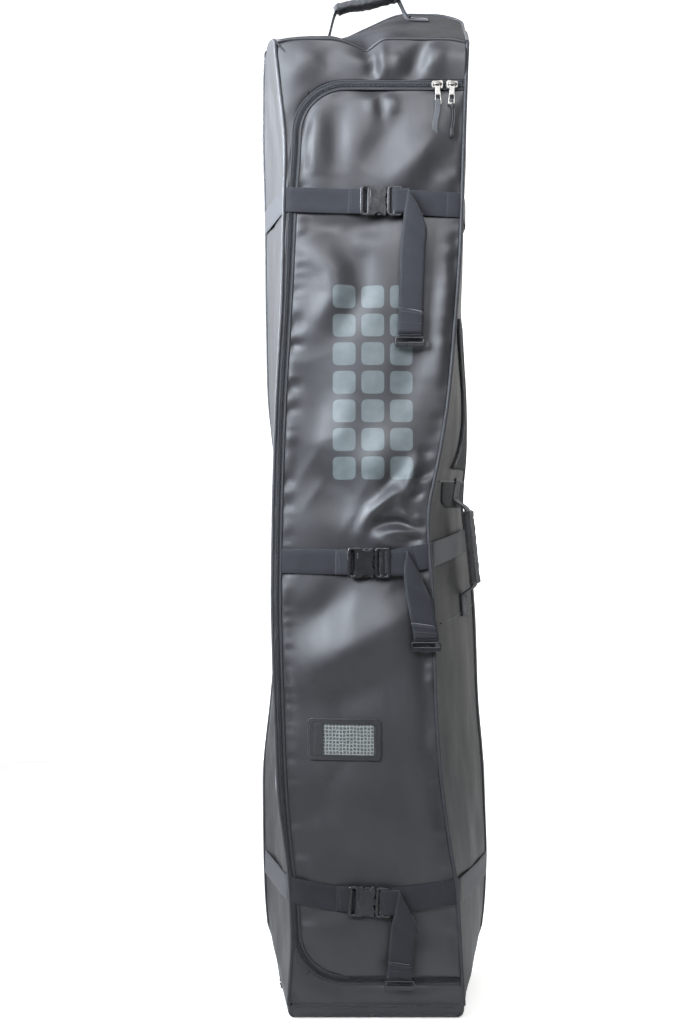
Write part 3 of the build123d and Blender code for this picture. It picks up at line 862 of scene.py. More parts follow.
# Folds of the front, in mm: half width, height (negative sinks in), then x and z of its points.
FOLDS = (
    (6, 8, 10, 1492, 12, 1432), (10, -8, 1, 1474, -4, 1434), (10, -9, 50, 1434, 77, 1494),
    (11, 7, 27, 1440, 34, 1482), (14, 6, 98, 1494, 84, 1448), (22, -4, -75, 1490, -58, 1450),
    (24, 6, -118, 1480, -90, 1440), (16, 5, 118, 1290, 96, 1268), (20, -6, 60, 1040, 42, 930),
    (28, -7, -104, 1010, -60, 890), (24, 8, 30, 900, -10, 826), (24, 6, -40, 960, -70, 860),
    (24, -9, -104, 850, -24, 800), (24, -8, -34, 770, -94, 806), (5, -8, 54, 802, 74, 806),
    (5, -8, 58, 830, 82, 834), (6, -6, 64, 868, 88, 866), (8, -8, 12, 812, 30, 842),
    (18, -7, 26, 668, 60, 640), (22, 8, 30, 600, 66, 470), (11, -6, 76, 600, 80, 400),
    (30, -6, -70, 500, 10, 520), (38, 7, -60, 380, 40, 300), (22, -8, -100, 262, 40, 238),
    (20, 7, 62, 420, 88, 250), (26, 5, -100, 126, -30, 152), (22, -5, 30, 112, 95, 142),
    (16, 4, 10, 55, 60, 40), (14, -4, -70, 60, -30, 35), (26, -8, 78, 645, 78, 555),
    (22, -4, 30, 100, 34, 62), (20, 9, -97, 1402, -95, 1350, -90, 1285),
    (17, -8, -56, 1406, -57, 1350, -58, 1290), (22, 11, 22, 1262, 62, 1312, 98, 1366),
    (20, -7, -18, 1296, 14, 1345, 44, 1398), (7, 4, -8, 1418, 0, 1380), (7, -4, 6, 1416, 13, 1376),
    (9, 4, 24, 1416, 30, 1382), (16, -7, -100, 1214, -40, 1210, 24, 1214),
    (18, 8, -118, 1196, -69, 1146, -61, 1108, -96, 1055),
    (18, -9, -66, 1205, -26, 1159, -17, 1116, -54, 1050), (18, 10, 117, 1190, 113, 1080, 108, 960),
    (22, -5, 70, 1130, 66, 1050, 60, 980), (8, 12, -22, 745, -6, 776, 32, 806, 42, 778),
    (9, 12, 44, 800, 54, 826, 64, 858), (5, 9, 38, 776, 56, 762, 76, 764),
    (6, -11, -6, 757, 30, 762, 70, 752), (7, 10, 6, 742, 36, 748, 72, 744), (5, -8, 44, 736, 78, 737),
    (6, 7, -2, 736, 20, 728, 40, 734), (34, 16, -122, 528, -58, 552, 6, 594, 64, 616),
    (22, -8, -120, 604, -78, 628, -34, 676), (26, -6, -112, 300, -60, 350),
)


def fold_height(x, z):
    """Height of all the folds above the smooth front at slouched x and z."""
    total = np.zeros_like(x)
    wobble = 0.004 * lattice_noise(x * 25 + 9, z * 25 + 3, 5)
    for width, height, *line in FOLDS:
        line = np.array(line, dtype=float).reshape(-1, 2) * MM
        steps = np.hypot(*np.diff(line, axis=0).T)
        nearest, along = np.full_like(x, 9.0), np.zeros_like(x)
        for k, (start, end) in enumerate(zip(line, line[1:])):
            ax, az = end - start
            u = np.clip(((x - start[0]) * ax + (z - start[1]) * az) / steps[k] ** 2, 0, 1)
            away = np.hypot(x - start[0] - u * ax, z - start[1] - u * az)
            along = np.where(away < nearest, steps[:k].sum() + u * steps[k], along)
            nearest = np.minimum(nearest, away)
        ends = 0.12 + 0.88 * np.sin(math.pi * np.clip(along / steps.sum(), 0.03, 0.97)) ** 0.6
        total += height * MM * ends * hump(nearest + wobble * 0.5, width * MM * 1.15)
    return total


def lid_plan(rows, cols, inset, right):
    """Grid of straight points inside the zip, as far as x = right."""
    z = np.linspace(ZIP_BOTTOM + inset, ZIP_TOP - inset, rows)[:, None]
    left = outline_left(z, -inset)
    return place_xz(left + (right - left) * np.linspace(0, 1, cols), z)


def build_lid():
    flat = lid_plan(232, 46, TAPE, HINGE_X - 0.001)
    x, zz, left = flat[..., 0], flat[..., 2], flat[:, :1, 0]
    base = slouch(flat)
    edge = np.minimum(np.minimum(x - left, HINGE_X - x), np.minimum(ZIP_TOP - zz, zz - ZIP_BOTTOM))
    crown = 0.010 * np.sqrt(smooth(edge / 0.07))
    press = sum(hump(zz - strap_z(s), 0.045) for s in STRAPS)
    crown = crown * (1 - 0.85 * np.clip(press, 0, 1)) * (1 - 0.55 * hump(zz - ZIP_TOP + 0.025, 0.05))
    normal = front_normal(zz)
    start = base + normal * crown[..., None]
    crush = smooth(x / 0.13) * smooth((zz - 0.700) / 0.13)
    rest = start.copy()
    rest[..., 2] += 0.030 * crush + 0.004 * lattice_noise(x * 16, zz * 9, 3)
    rest[..., 0] *= 1.02
    held = 0.35 * np.clip(sum(hump(zz - strap_z(s), 0.016) for s in STRAPS), 0, 1)
    lid, points = draped_sheet("lid_cover", flat, start, rest, 4.0, 0.022, 2, held)
    fade = smooth(edge / 0.022)
    puckers = lattice_noise(zz * 62, x * 9 + 4, 11) + 0.6 * lattice_noise(zz * 120, x * 20, 12)
    rim = hump(edge - 0.005, 0.014)
    height = fold_height(points[..., 0], points[..., 2]) * fade
    height += 0.0034 * puckers * rim * smooth(edge / 0.003)
    height += 0.0016 * lattice_noise(x * 22, zz * 14, 21) * fade
    points += normal * height[..., None]
    tag(lid.data, "place", points)
    finish_sheet(lid, points, (0, -1, 0), M["lid"], None, "lid_panel", "lid_hinge_binding")
    return hinge_blend(lid, flat_of(lid)[:, 0])


def flat_of(obj):
    """The texture coordinates stored on a piece."""
    flat = np.empty(len(obj.data.vertices) * 3, np.float32)
    obj.data.attributes["flat"].data.foreach_get("vector", flat)
    return flat.reshape(-1, 3).astype(float)


def bend_by(obj):
    """Bakes the piece's placement into its mesh; it does not bend it or use weights."""
    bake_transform(obj)
    return obj


def hinge_weight(x):
    """Share of the lid's turn at a straight x: none at the hinge, all of it past the reach."""
    return smooth((HINGE_X - x) / HINGE_REACH)


def hinge_blend(obj, x):
    """Bakes the piece's placement into its mesh; the piece is not made to turn with the lid."""
    return bend_by(obj)


def build_border():
    """The C-shaped front panel round the lid."""
    line = zip_outline(TAPE, 0.006, 0.137)
    centre_x = ZIP_LEFT + ZIP_CORNER
    outer = []
    for x, z in line:
        if x >= centre_x:
            outer.append((x, FRONT_HEIGHT if z > 0.7 else BOOT_FRONT))
        else:
            cz = min(max(z, ZIP_BOTTOM + ZIP_CORNER), ZIP_TOP - ZIP_CORNER)
            dx, dz = x - centre_x, z - cz
            limit = FRONT_HEIGHT if dz > 0 else BOOT_FRONT
            t = (-FRONT_HALF - centre_x) / dx
            if abs(dz) > 1e-6:
                t = min(t, (limit - cz) / dz)
            outer.append((centre_x + t * dx, cz + t * dz))
    outer = np.array(outer)
    u = np.linspace(0, 1, 10)[None, :, None]
    plan = line[:, None, :] * (1 - u) + outer[:, None, :] * u
    x, z = plan[..., 0], plan[..., 1]
    flat = place_xz(x, z)
    start = sag(slouch(flat))
    width = np.linalg.norm(outer - line, axis=1)[:, None]
    across = 4 * u[..., 0] * (1 - u[..., 0])
    normal = front_normal(z)
    start += normal * (0.004 * across * smooth(width / 0.05))[..., None]
    border, points = draped_sheet("front_cover", flat, start, start * (1.05, 1, 1), 1.2, 0.012, 1)
    height = fold_height(points[..., 0], points[..., 2]) * smooth(across * 1.6) * smooth(width / 0.04)
    height += 0.0018 * lattice_noise(x * 40, z * 40, 31) * across
    points += normal * height[..., None]
    return finish_sheet(border, points, (0, -1, 0), M["laminate"], "root", "front_border")


def build_side(side):
    """A side panel, from the piped front edge to the back seam."""
    y = np.linspace(FRONT_Y, SIDE_SEAM_Y, 26)[None, :]
    v = np.linspace(0, 1, 214)[:, None]
    z = boot_z(y) + (slope_z(y) - boot_z(y)) * v
    flat = place_xz(side * half_width(y, z), z, y)
    x, y, z = np.moveaxis(flat, -1, 0)
    start = sag(slouch(flat))
    u = (y - FRONT_Y) / (SIDE_SEAM_Y - FRONT_Y)
    across = 4 * u * (1 - u)
    tangent = slouch(flat + np.array([0, 0.001, 0])) - slouch(flat)
    normal = unit(np.stack([tangent[..., 1], -tangent[..., 0], np.zeros_like(x)], -1) * side)
    press = np.clip(sum(hump(z - strap_z(s), 0.05) for s in STRAPS), 0, 1)
    start += normal * (0.005 * across * (1 - 0.5 * press))[..., None]
    rest = start * (1, 1, 1.012)
    rest[..., 2] += 0.02 * smooth((z - 0.72) / 0.1)
    name = "left" if side < 0 else "right"
    cover, points = draped_sheet(f"side_cover_{name}", flat, start, rest, 1.2, 0.010, 2)
    height = 0.0022 * lattice_noise(y * 24 + side, z * 12, 41) * across
    height += 0.0030 * lattice_noise(y * 9, z * 30 + side, 42) * across * hump(z - 0.76, 0.09)
    points += normal * height[..., None]
    return finish_sheet(cover, points, (side, 0, 0), M["side"], "root", f"side_panel_{name}")


def back_plan(z, count=40):
    """Plan of the back from the left side seam, round both corners, to the right one."""
    half = back_half(z)
    seam = half_width(SIDE_SEAM_Y, z)
    t = np.linspace(0, 1, 12)
    cx = (1 - t) ** 2 * seam + 2 * t * (1 - t) * half + t ** 2 * (half - 0.052)
    cy = (1 - t) ** 2 * SIDE_SEAM_Y + 2 * t * (1 - t) * BACK_Y + t ** 2 * BACK_Y
    flat = np.linspace(-(half - 0.052), half - 0.052, count - 22)[1:-1]
    x = np.concatenate([-cx, flat, cx[::-1]])
    y = np.concatenate([cy, np.full(len(flat), BACK_Y), cy[::-1]])
    return x, y


def build_back():
    grid = []
    for v in np.linspace(0, 1, 150):
        x, y = back_plan(0.08 + v * 1.5)
        z = boot_z(y) + (slope_z(y) - boot_z(y)) * v
        grid.append(np.stack([x, y, z], -1))
    flat = np.array(grid)
    start = sag(slouch(flat))
    x, y, z = flat[..., 0], flat[..., 1], flat[..., 2]
    cover, points = draped_sheet("back_cover", flat, start, start * (1, 1, 1.006), 0.4, 0.006, 1)
    points[..., 1] += 0.0016 * lattice_noise(x * 18, z * 10, 51) * smooth((y - 0.08) / 0.03)
    return finish_sheet(cover, points, (0, 1, 0), M["side"], "root", "back_panel")


def top_half(y):
    """Half width of the rounded top end at a depth."""
    y = min(y, BACK_Y - 1e-4)
    z = slope_z(y)
    if y <= SIDE_SEAM_Y:
        return half_width(y, z)
    xs, ys = back_plan(z, 60)
    right = xs > 0.08
    return float(np.interp(y, ys[right][::-1], xs[right][::-1]))


def build_top():
    flat = []
    for y in FRONT_Y + DEPTH * np.linspace(0, 1, 34) ** 0.9:
        reach = top_half(y)
        flat.append(place_xz(np.linspace(-reach, reach, 44), slope_z(y), y))
    flat = np.array(flat)
    start = sag(slouch(flat))
    x, y = flat[..., 0], flat[..., 1]
    u = (y - FRONT_Y) / DEPTH
    across = 4 * u * (1 - u) * (1 - (x / 0.17) ** 4)
    start[..., 2] += 0.005 * across
    cover, points = draped_sheet("top_cover", flat, start, start * (1.03, 1, 1), 1.0, 0.012, 1)
    height = -0.012 * hump(x + 0.005 + 0.1 * u, 0.022) * np.clip(1 - u / 0.8, 0, 1) * smooth(u / 0.1)
    height += 0.005 * hump(x - 0.035, 0.022) * np.clip(1 - u, 0, 1) * smooth(u / 0.1)
    height += 0.003 * lattice_noise(x * 22, y * 22, 61) * across
    points[..., 2] += height
    return finish_sheet(cover, points, (0, 0, 1), M["laminate"], "root", "top_end_panel")


def base_plan(z):
    """Closed plan of the foot of the bag: front, right, back, left."""
    half = half_width(FRONT_Y, z)
    front = np.linspace(-half + 0.008, half - 0.008, 30)
    corner = [(half - 0.004, FRONT_Y + 0.0015), (half, FRONT_Y + 0.007)]
    side_y = np.linspace(FRONT_Y + 0.018, SIDE_SEAM_Y, 18)[:-1]
    xs, ys = back_plan(z)
    x = np.concatenate([front, [c[0] for c in corner], half_width(side_y, z), xs[::-1],
                        -half_width(side_y, z)[::-1], [-c[0] for c in corner[::-1]]])
    y = np.concatenate([np.full(30, FRONT_Y), [c[1] for c in corner], side_y, ys[::-1],
                        side_y[::-1], [c[1] for c in corner[::-1]]])
    return x, y


def warped_copy(node, name, material, slot, length=0.035, place=slouch):
    """A part of the frame, slouched with the cover round it."""
    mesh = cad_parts[node].data.copy()
    rework(mesh, lambda bm: bmesh.ops.remove_doubles(bm, verts=bm.verts, dist=1e-5))
    rework(mesh, lambda bm: split_long(bm, length, 7, 3))
    co = coords(mesh)
    tag(mesh, "flat", co)
    set_coords(mesh, place(co))
    shade(mesh, False)
    return done(link(name, mesh), material, "root", slot, node)


def boot_place(points):
    """Slouches the boot; the wheel wells stay where the wheels are."""
    out = slouch(points)
    fixed = (np.abs(points[:, 0]) < 0.1535) & (points[:, 1] > 0.030)
    out[fixed, 0] = points[fixed, 0]
    low = np.clip(1 - points[:, 2] / 0.014, 0, 1)
    inset = 0.011 * (1 - np.sqrt(1 - low ** 2))
    rim = half_width(points[:, 1], points[:, 2]) - np.abs(points[:, 0]) < 0.006
    out[rim & ~fixed, 0] -= (np.sign(points[:, 0]) * inset)[rim & ~fixed]
    front = points[:, 1] < FRONT_Y + 0.006
    out[front, 1] += inset[front]
    return out


# ======================================================================================
# Small repeated details
# ======================================================================================
def beads(name, centres, ahead, out, size, run=None):
    """Many small rounded lumps; size is the half length along, across and out."""
    centres, ahead, out = (np.asarray(a, float) for a in (centres, ahead, out))
    out = np.broadcast_to(out, centres.shape)
    ahead = unit(ahead)
    side = unit(np.cross(out, ahead))
    out = np.cross(ahead, side)
    shape, faces = [], []
    for level, radius in ((-0.8, 0.62), (-0.35, 1.0), (0.35, 1.0), (0.8, 0.62)):
        shape += [(level, radius * math.cos(a), radius * math.sin(a))
                  for a in np.linspace(0, 2 * math.pi, 7)[:-1]]
    for k in (0, 6, 12):
        faces += [(k + j, k + (j + 1) % 6, k + 6 + (j + 1) % 6, k + 6 + j) for j in range(6)]
    faces += [tuple(range(5, -1, -1)), tuple(range(18, 24))]
    shape = np.array(shape) * np.array(size)
    verts = (centres[:, None] + shape[None, :, :1] * ahead[:, None] + shape[None, :, 1:2] * side[:, None]
             + shape[None, :, 2:] * out[:, None])
    run = np.zeros(len(centres)) if run is None else np.asarray(run)
    flat = np.concatenate([np.broadcast_to(shape[None, :, 1:], verts.shape[:2] + (2,)),
                           np.broadcast_to(run[:, None, None], verts.shape[:2] + (1,))], -1)
    every = [tuple(i * 24 + j for j in face) for i in range(len(centres)) for face in faces]
    return make_object(name, verts.reshape(-1, 3), every, flat.reshape(-1, 3))


def stitches(name, path, out, pitch, half, thick=0.00035):
    """A row of stitches along a path."""
    path = resample(path, pitch)
    mid = 0.5 * (path[1:] + path[:-1])
    return beads(name, mid, np.diff(path, axis=0), out, (half, thick * 1.3, thick))


# ======================================================================================
# Skin of the bag and probing it
# ======================================================================================
lid_cover = build_lid()
front_cover = build_border()
side_left = build_side(-1)
side_right = build_side(1)
back_cover = build_back()
top_cover = build_top()
base_cover = warped_copy("base_boot", "base_cover", M["boot"], "boot", 0.016, boot_place)


def tree_of(objects):
    verts, faces = [], []
    for obj in objects:
        start = len(verts)
        verts += [v.co.copy() for v in obj.data.vertices]
        faces += [[start + i for i in p.vertices] for p in obj.data.polygons]
    return BVHTree.FromPolygons(verts, faces)


skin = tree_of([lid_cover, front_cover, side_left, side_right, back_cover, top_cover, base_cover])


def probe(origin, direction):
    """First point of the skin that a ray meets, and the outward normal there."""
    hit, normal, _, _ = skin.ray_cast(Vector(origin), Vector(direction))
    if hit is None:
        return None, None
    if normal.dot(Vector(direction)) > 0:
        normal = -normal
    return np.array(hit), np.array(normal)


def on_front(x, z):
    return probe((x, -0.5, z), (0, 1, 0))[0]


# ======================================================================================
# Zip
# ======================================================================================
def zip_frame(grow, step):
    """Slouched path of the zip, its outward normals, in-plane growth direction, and straight x."""
    line = zip_outline(grow, step, 0.1345)
    path = slouch(place_xz(*line.T))
    normal = front_normal(line[:, 1])
    ahead = np.gradient(path, axis=0)
    return path, normal, unit(np.cross(ahead, normal)), line[:, 0]


def build_zip():
    ribs = [(-0.0036, 0.0), (-0.0036, 0.0007)]
    ribs += [(a * 0.001, 0.0010 + 0.00035 * math.sin(a * 5.2)) for a in np.linspace(-3.4, 3.4, 18)]
    ribs += [(0.0036, 0.0007), (0.0036, 0.0)]
    for grow, body, node, key in ((0.0037, "root", "zip_half_outer", "outer"),
                                  (-0.0037, "lid", "zip_half_lid", "lid")):
        path, normal, across, x = zip_frame(grow, 0.004)
        if (np.cross(across, np.gradient(path, axis=0)) * normal).sum() < 0:
            across = -across
        tape = sweep(f"zip_tape_{key}", path, across, ribs)
        run = run_along(path)
        done(tape, M["tape"], None, "zip_tape", node)
        path, normal, across, tx = zip_frame(grow * 0.33, 0.0025)
        teeth_run = np.arange(len(path)) * 0.0025
        coil = beads(f"zip_coil_{key}", path + normal * 0.0014, across, normal,
                     (0.0022, 0.00085, 0.0010), teeth_run)
        done(coil, M["coil"], None, "zip_tape")
        if body == "root":
            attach(tape, body)
            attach(coil, body)
        else:
            hinge_blend(tape, np.interp(flat_of(tape)[:, 2], run, x))
            hinge_blend(coil, np.interp(flat_of(coil)[:, 2], teeth_run, tx))


build_zip()


# ======================================================================================
# Piping and seams
# ======================================================================================
def piping():
    """Corded piping along every seam of the cover, as one piece per seam."""
    def side_edge(side, y):
        z = np.linspace(float(boot_z(y)), float(slope_z(y)), 60)
        return place_xz(side * half_width(y, z), z, y)

    top_y = np.linspace(FRONT_Y, BACK_Y, 30)
    half = np.array([top_half(y) for y in top_y])
    foot_x, foot_y = base_plan(0.05)
    brow = place_xz(np.linspace(-FRONT_HALF, FRONT_HALF, 30), FRONT_HEIGHT)
    left = np.stack([-half, top_y, slope_z(top_y)], -1)
    rear = np.stack([half[::-1], top_y[::-1], slope_z(top_y[::-1])], -1)
    crown = np.concatenate([left, rear])
    rows = (
        ("piping_front_left", side_edge(-1, FRONT_Y), 0.0030),
        ("piping_hinge", side_edge(1, FRONT_Y), 0.0032),
        ("piping_back_left", side_edge(-1, SIDE_SEAM_Y), 0.0026),
        ("piping_back_right", side_edge(1, SIDE_SEAM_Y), 0.0026),
        ("piping_top", crown, 0.0030),
        ("piping_foot", place_xz(foot_x, boot_z(foot_y), foot_y), 0.0022),
    )
    made = []
    for name, points, radius in rows:
        path = soften(sag(slouch(resample(points, 0.006))), 2)
        path[:, 1] += 0.0007 * lattice_noise(np.arange(len(path)) * 0.31, len(name) * 1.7, 71)
        made.append(tube(name, path, radius, 10))
    brow = sag(slouch(resample(brow, 0.006))) + (0, 0.0008, -0.0010)
    rolled = tube("rolled_brow", brow, 0.0032, 12)
    inner = place_xz(*zip_outline(TAPE, 0.006, 0.1345).T, FRONT_Y - 0.0006)
    made.append(tube("piping_zip", slouch(inner), 0.0013))
    for name, ends in (("piping_corner_top", ((-FRONT_HALF, FRONT_HEIGHT), (-0.101, 1.4165))),
                       ("piping_corner_low", ((-FRONT_HALF, 0.024), (-0.101, 0.0745)))):
        line = resample([(x, FRONT_Y, z) for x, z in ends], 0.005)
        made.append(tube(name, sag(slouch(line)) + (0, -0.0012, 0), 0.0018))
    for obj in made:
        done(obj, M["piping"], "root", "binding")
    done(rolled, M["laminate"], "root", "laminate")
    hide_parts("edge_piping")


piping()


def build_lid_welt():
    rim = place_xz(*zip_outline(-TAPE, 0.004, 0.1345).T, FRONT_Y - 0.0008)
    path = slouch(rim)
    welt = done(tube("lid_welt", path, 0.0014), M["piping"], None, "binding")
    hinge_blend(welt, np.interp(flat_of(welt)[:, 2], run_along(path), rim[:, 0]))


build_lid_welt()


# ======================================================================================
# Seam work on the right side: knit gusset, its binding and the lower seam
# ======================================================================================
def on_side(y, z, lift):
    """The point on the right side at y and z, lifted off it."""
    hit, normal = probe((0.5, y, z), (-1, 0, 0))
    return hit + normal * lift


def side_patch(name, z_levels, keys, cols):
    """A knit patch on the right side; keys give the depth of its front edge as (z, y)."""
    edge = np.interp(z_levels, *np.transpose(keys))
    grid = np.array([[on_side(y, z, 0.0018) for y in np.linspace(start, 0.064, cols)]
                     for z, start in zip(z_levels, edge)])
    patch = grid_object(name, grid, grid)
    outward(patch, (1, 0, 0))
    done(thicken(patch, 1.4 * MM), M["gusset"], "root", "laminate")
    return zip(edge, z_levels)


def side_cord(name, spots, lift, rounds, radius, material):
    """A cord on the right side, along (y, z) spots."""
    line = np.array([on_side(y, z, lift) for y, z in spots])
    done(tube(name, soften(line, rounds), radius), material, "root", "binding")


gusset_edge = side_patch("side_gusset", np.linspace(0.845, 1.075, 46),
                         ((0.845, -0.060), (0.860, -0.042), (0.885, -0.020), (0.920, -0.008),
                          (0.965, -0.015), (1.000, -0.040), (1.040, -0.078), (1.075, -0.100)), 20)
side_cord("gusset_binding", gusset_edge, 0.0030, 3, 0.0022, M["piping"])
side_patch("side_low_patch", np.linspace(0.784, 0.822, 14),
           ((0.784, -0.060), (0.788, -0.080), (0.795, -0.090), (0.822, -0.096)), 22)
for name, ends in (("seam_side_mid", ((-0.112, 0.824), (0.064, 0.826))),
                   ("seam_side_low", ((-0.112, 0.606), (0.064, 0.626)))):
    side_cord(name, resample(ends, 0.005), 0.0001, 2, 0.0012, M["frame"])


# ======================================================================================
# Compression straps
# ======================================================================================
def hull(points):
    """The front chain of the convex hull, from the leftmost to the rightmost point."""
    points = sorted(map(tuple, points))
    chain = []
    for p in points:
        while len(chain) >= 2:
            (ax, ay), (bx, by) = chain[-2], chain[-1]
            if (bx - ax) * (p[1] - ay) - (by - ay) * (p[0] - ax) <= 0:
                chain.pop()
            else:
                break
        chain.append(p)
    return np.array(chain)


STRAP_SAG = {
    "upper": ((-0.140, 0.004), (-0.02, 0.000), (0.06, -0.001), (0.135, -0.004)),
    "middle": ((-0.150, 0.002), (-0.02, 0.000), (0.02, 0.000), (0.080, 0.010), (0.150, 0.030)),
    "lower": ((-0.135, 0.016), (-0.07, 0.004), (0.02, 0.000), (0.070, 0.006), (0.125, 0.014)),
}


def strap_path(name):
    """The taut run of a strap round the bag, a little off the skin."""
    z0 = strap_z(name)
    keys = np.array(STRAP_SAG[name])
    points = []
    for x in np.linspace(-0.150, 0.137, 72):
        z = z0 + np.interp(x, keys[:, 0], keys[:, 1])
        for dv in (-0.016, -0.008, 0, 0.008, 0.016):
            hit, _ = probe((x, -0.5, z + dv), (0, 1, 0))
            if hit is not None and hit[1] < 0:
                points.append((x, hit[1]))
    for side in (-1, 1):
        z = z0 + keys[0 if side < 0 else -1, 1]
        for y in np.linspace(-0.105, 0.060, 26):
            for dv in (-0.014, 0, 0.014):
                hit, _ = probe((side * 0.5, y, z + dv), (-side, 0, 0))
                if hit is not None:
                    points.append((hit[0], y))
    chain = resample(hull(points), 0.004)
    ahead = unit(np.gradient(chain, axis=0))
    chain = soften(chain + np.stack([ahead[:, 1], -ahead[:, 0]], 1) * 0.0016, 3)
    z = z0 + np.interp(chain[:, 0], keys[:, 0], keys[:, 1])
    return np.stack([chain[:, 0], chain[:, 1], z], 1)


def at_x(path, x):
    """The point of a path at an x value."""
    return np.array([np.interp(x, path[:, 0], path[:, k]) for k in range(3)])


def cut_path(path, low, high):
    """The stretch of a path between two x values, with exact ends."""
    inside = path[(path[:, 0] > low + 1e-5) & (path[:, 0] < high - 1e-5)]
    return np.vstack([at_x(path, low), inside, at_x(path, high)])


def local_frame(origin, along):
    """Frame on a strap: x along it, y up, z out of the bag."""
    u = Vector(along).normalized()
    v = Vector((0, 0, 1))
    w = u.cross(v).normalized()
    v = w.cross(u)
    m = Matrix((u, v, w)).transposed().to_4x4()
    m.translation = Vector(origin)
    return m


def shifted(place, u=0.0, v=0.0, w=0.0, turn=0.0):
    return place @ Matrix.Translation((u, v, w)) @ Matrix.Rotation(turn, 4, "Z")


def mm(points):
    return [(a * MM, b * MM) for a, b in points]


def band_grid(name, left, right, thick=WEB_THICK, bow=0.0):
    """Webbing given by its two edges, facing the front, with a bow across its width."""
    s = np.linspace(0, 1, 9)
    grid = left[:, None] * (1 - s)[None, :, None] + right[:, None] * s[None, :, None]
    grid[..., 1] -= bow * 4 * s * (1 - s)
    flat = place_xz((s - 0.5) * WEB, run_along(0.5 * (left + right))[:, None], 0.0)
    obj = grid_object(name, grid, flat)
    outward(obj, FORWARD)
    return thicken(obj, thick, 0.0)


def spline(points, count):
    """A smooth curve through points, by chord length."""
    return soften(even(np.asarray(points, float), count), max(2, count // 8))


def build_strap(name):
    path = strap_path(name)
    xb, z0 = buckle_x(name), strap_z(name)
    corner_left, corner_right = float(seam_x(z0)), float(hinge_x(z0))
    section, up = band_section(WEB, WEB_THICK), (0, 0, 1)

    # Left: the side run and the run to the buckle, folded back on itself at the bar.
    left = cut_path(path, path[0, 0], xb - 0.0235)
    left[-2:, 1] += 0.0006
    web = sweep(f"strap_web_left_{name}", left, up, section)
    x = coords(web.data)[:, 0]
    done(web, M["webbing"], None, "webbing", f"strap_left_{name}")
    bend_by(web)
    fold = cut_path(path, xb - 0.050, xb - 0.0275)
    fold[:, 1] -= np.linspace(WEB_THICK, 2.4 * WEB_THICK, len(fold))
    hook = fold[-1] + [(0.0022, 0.0006, 0), (0.0036, 0.0022, 0), (0.0036, 0.0040, 0)]
    over = sweep(f"strap_fold_{name}", soften(np.vstack([fold, hook]), 1), up, section)
    done(over, M["webbing"], f"strap_left_{name}", "webbing")
    ends = at_x(fold, xb - 0.0445) + [(0, -0.00095, -0.0165), (0, -0.00095, 0.0165)]
    row = stitches(f"strap_stitch_left_{name}", ends, FORWARD, 0.0034, 0.0011)
    done(row, M["thread"], f"strap_left_{name}", "webbing")

    # Right: the side run turns the corner on to the lid; the run to the buckle starts under it.
    turn_end = corner_right - 0.022
    right = cut_path(path, turn_end, path[-1, 0])
    web = sweep(f"strap_web_side_{name}", right, up, section)
    x = coords(web.data)
    front = x[:, 1] < np.interp(x[:, 0], path[:, 0], path[:, 1]) + 0.004
    stretch = (HINGE_X - ZIP_LEFT) / (corner_right - float(zip_x(z0)))
    weight = np.where(front, hinge_weight(HINGE_X - (corner_right - x[:, 0]) * stretch), 0.0)
    weight = np.where(x[:, 0] < corner_right, weight, 0.0)
    done(web, M["webbing"], None, "webbing", "strap_side_runs")
    bend_by(web)
    run = cut_path(path, xb + 0.0265, turn_end + 0.010)
    run[:, 1] += 0.0010 * smooth((run[:, 0] - turn_end + 0.012) / 0.012)
    web = sweep(f"strap_web_right_{name}", run, up, section)
    x = coords(web.data)[:, 0]
    done(web, M["webbing"], None, "webbing", f"strap_right_{name}")
    bend_by(web)

    # Buckle, in its own frame.
    low, high = at_x(path, xb - 0.03), at_x(path, xb + 0.03)
    centre = 0.5 * (low + high)
    centre[2] = z0
    place = local_frame(centre + (0, -0.0056, 0), high - low)
    build_buckle(name, place)
    build_tail(name, xb, z0, centre[1] - 0.0056)


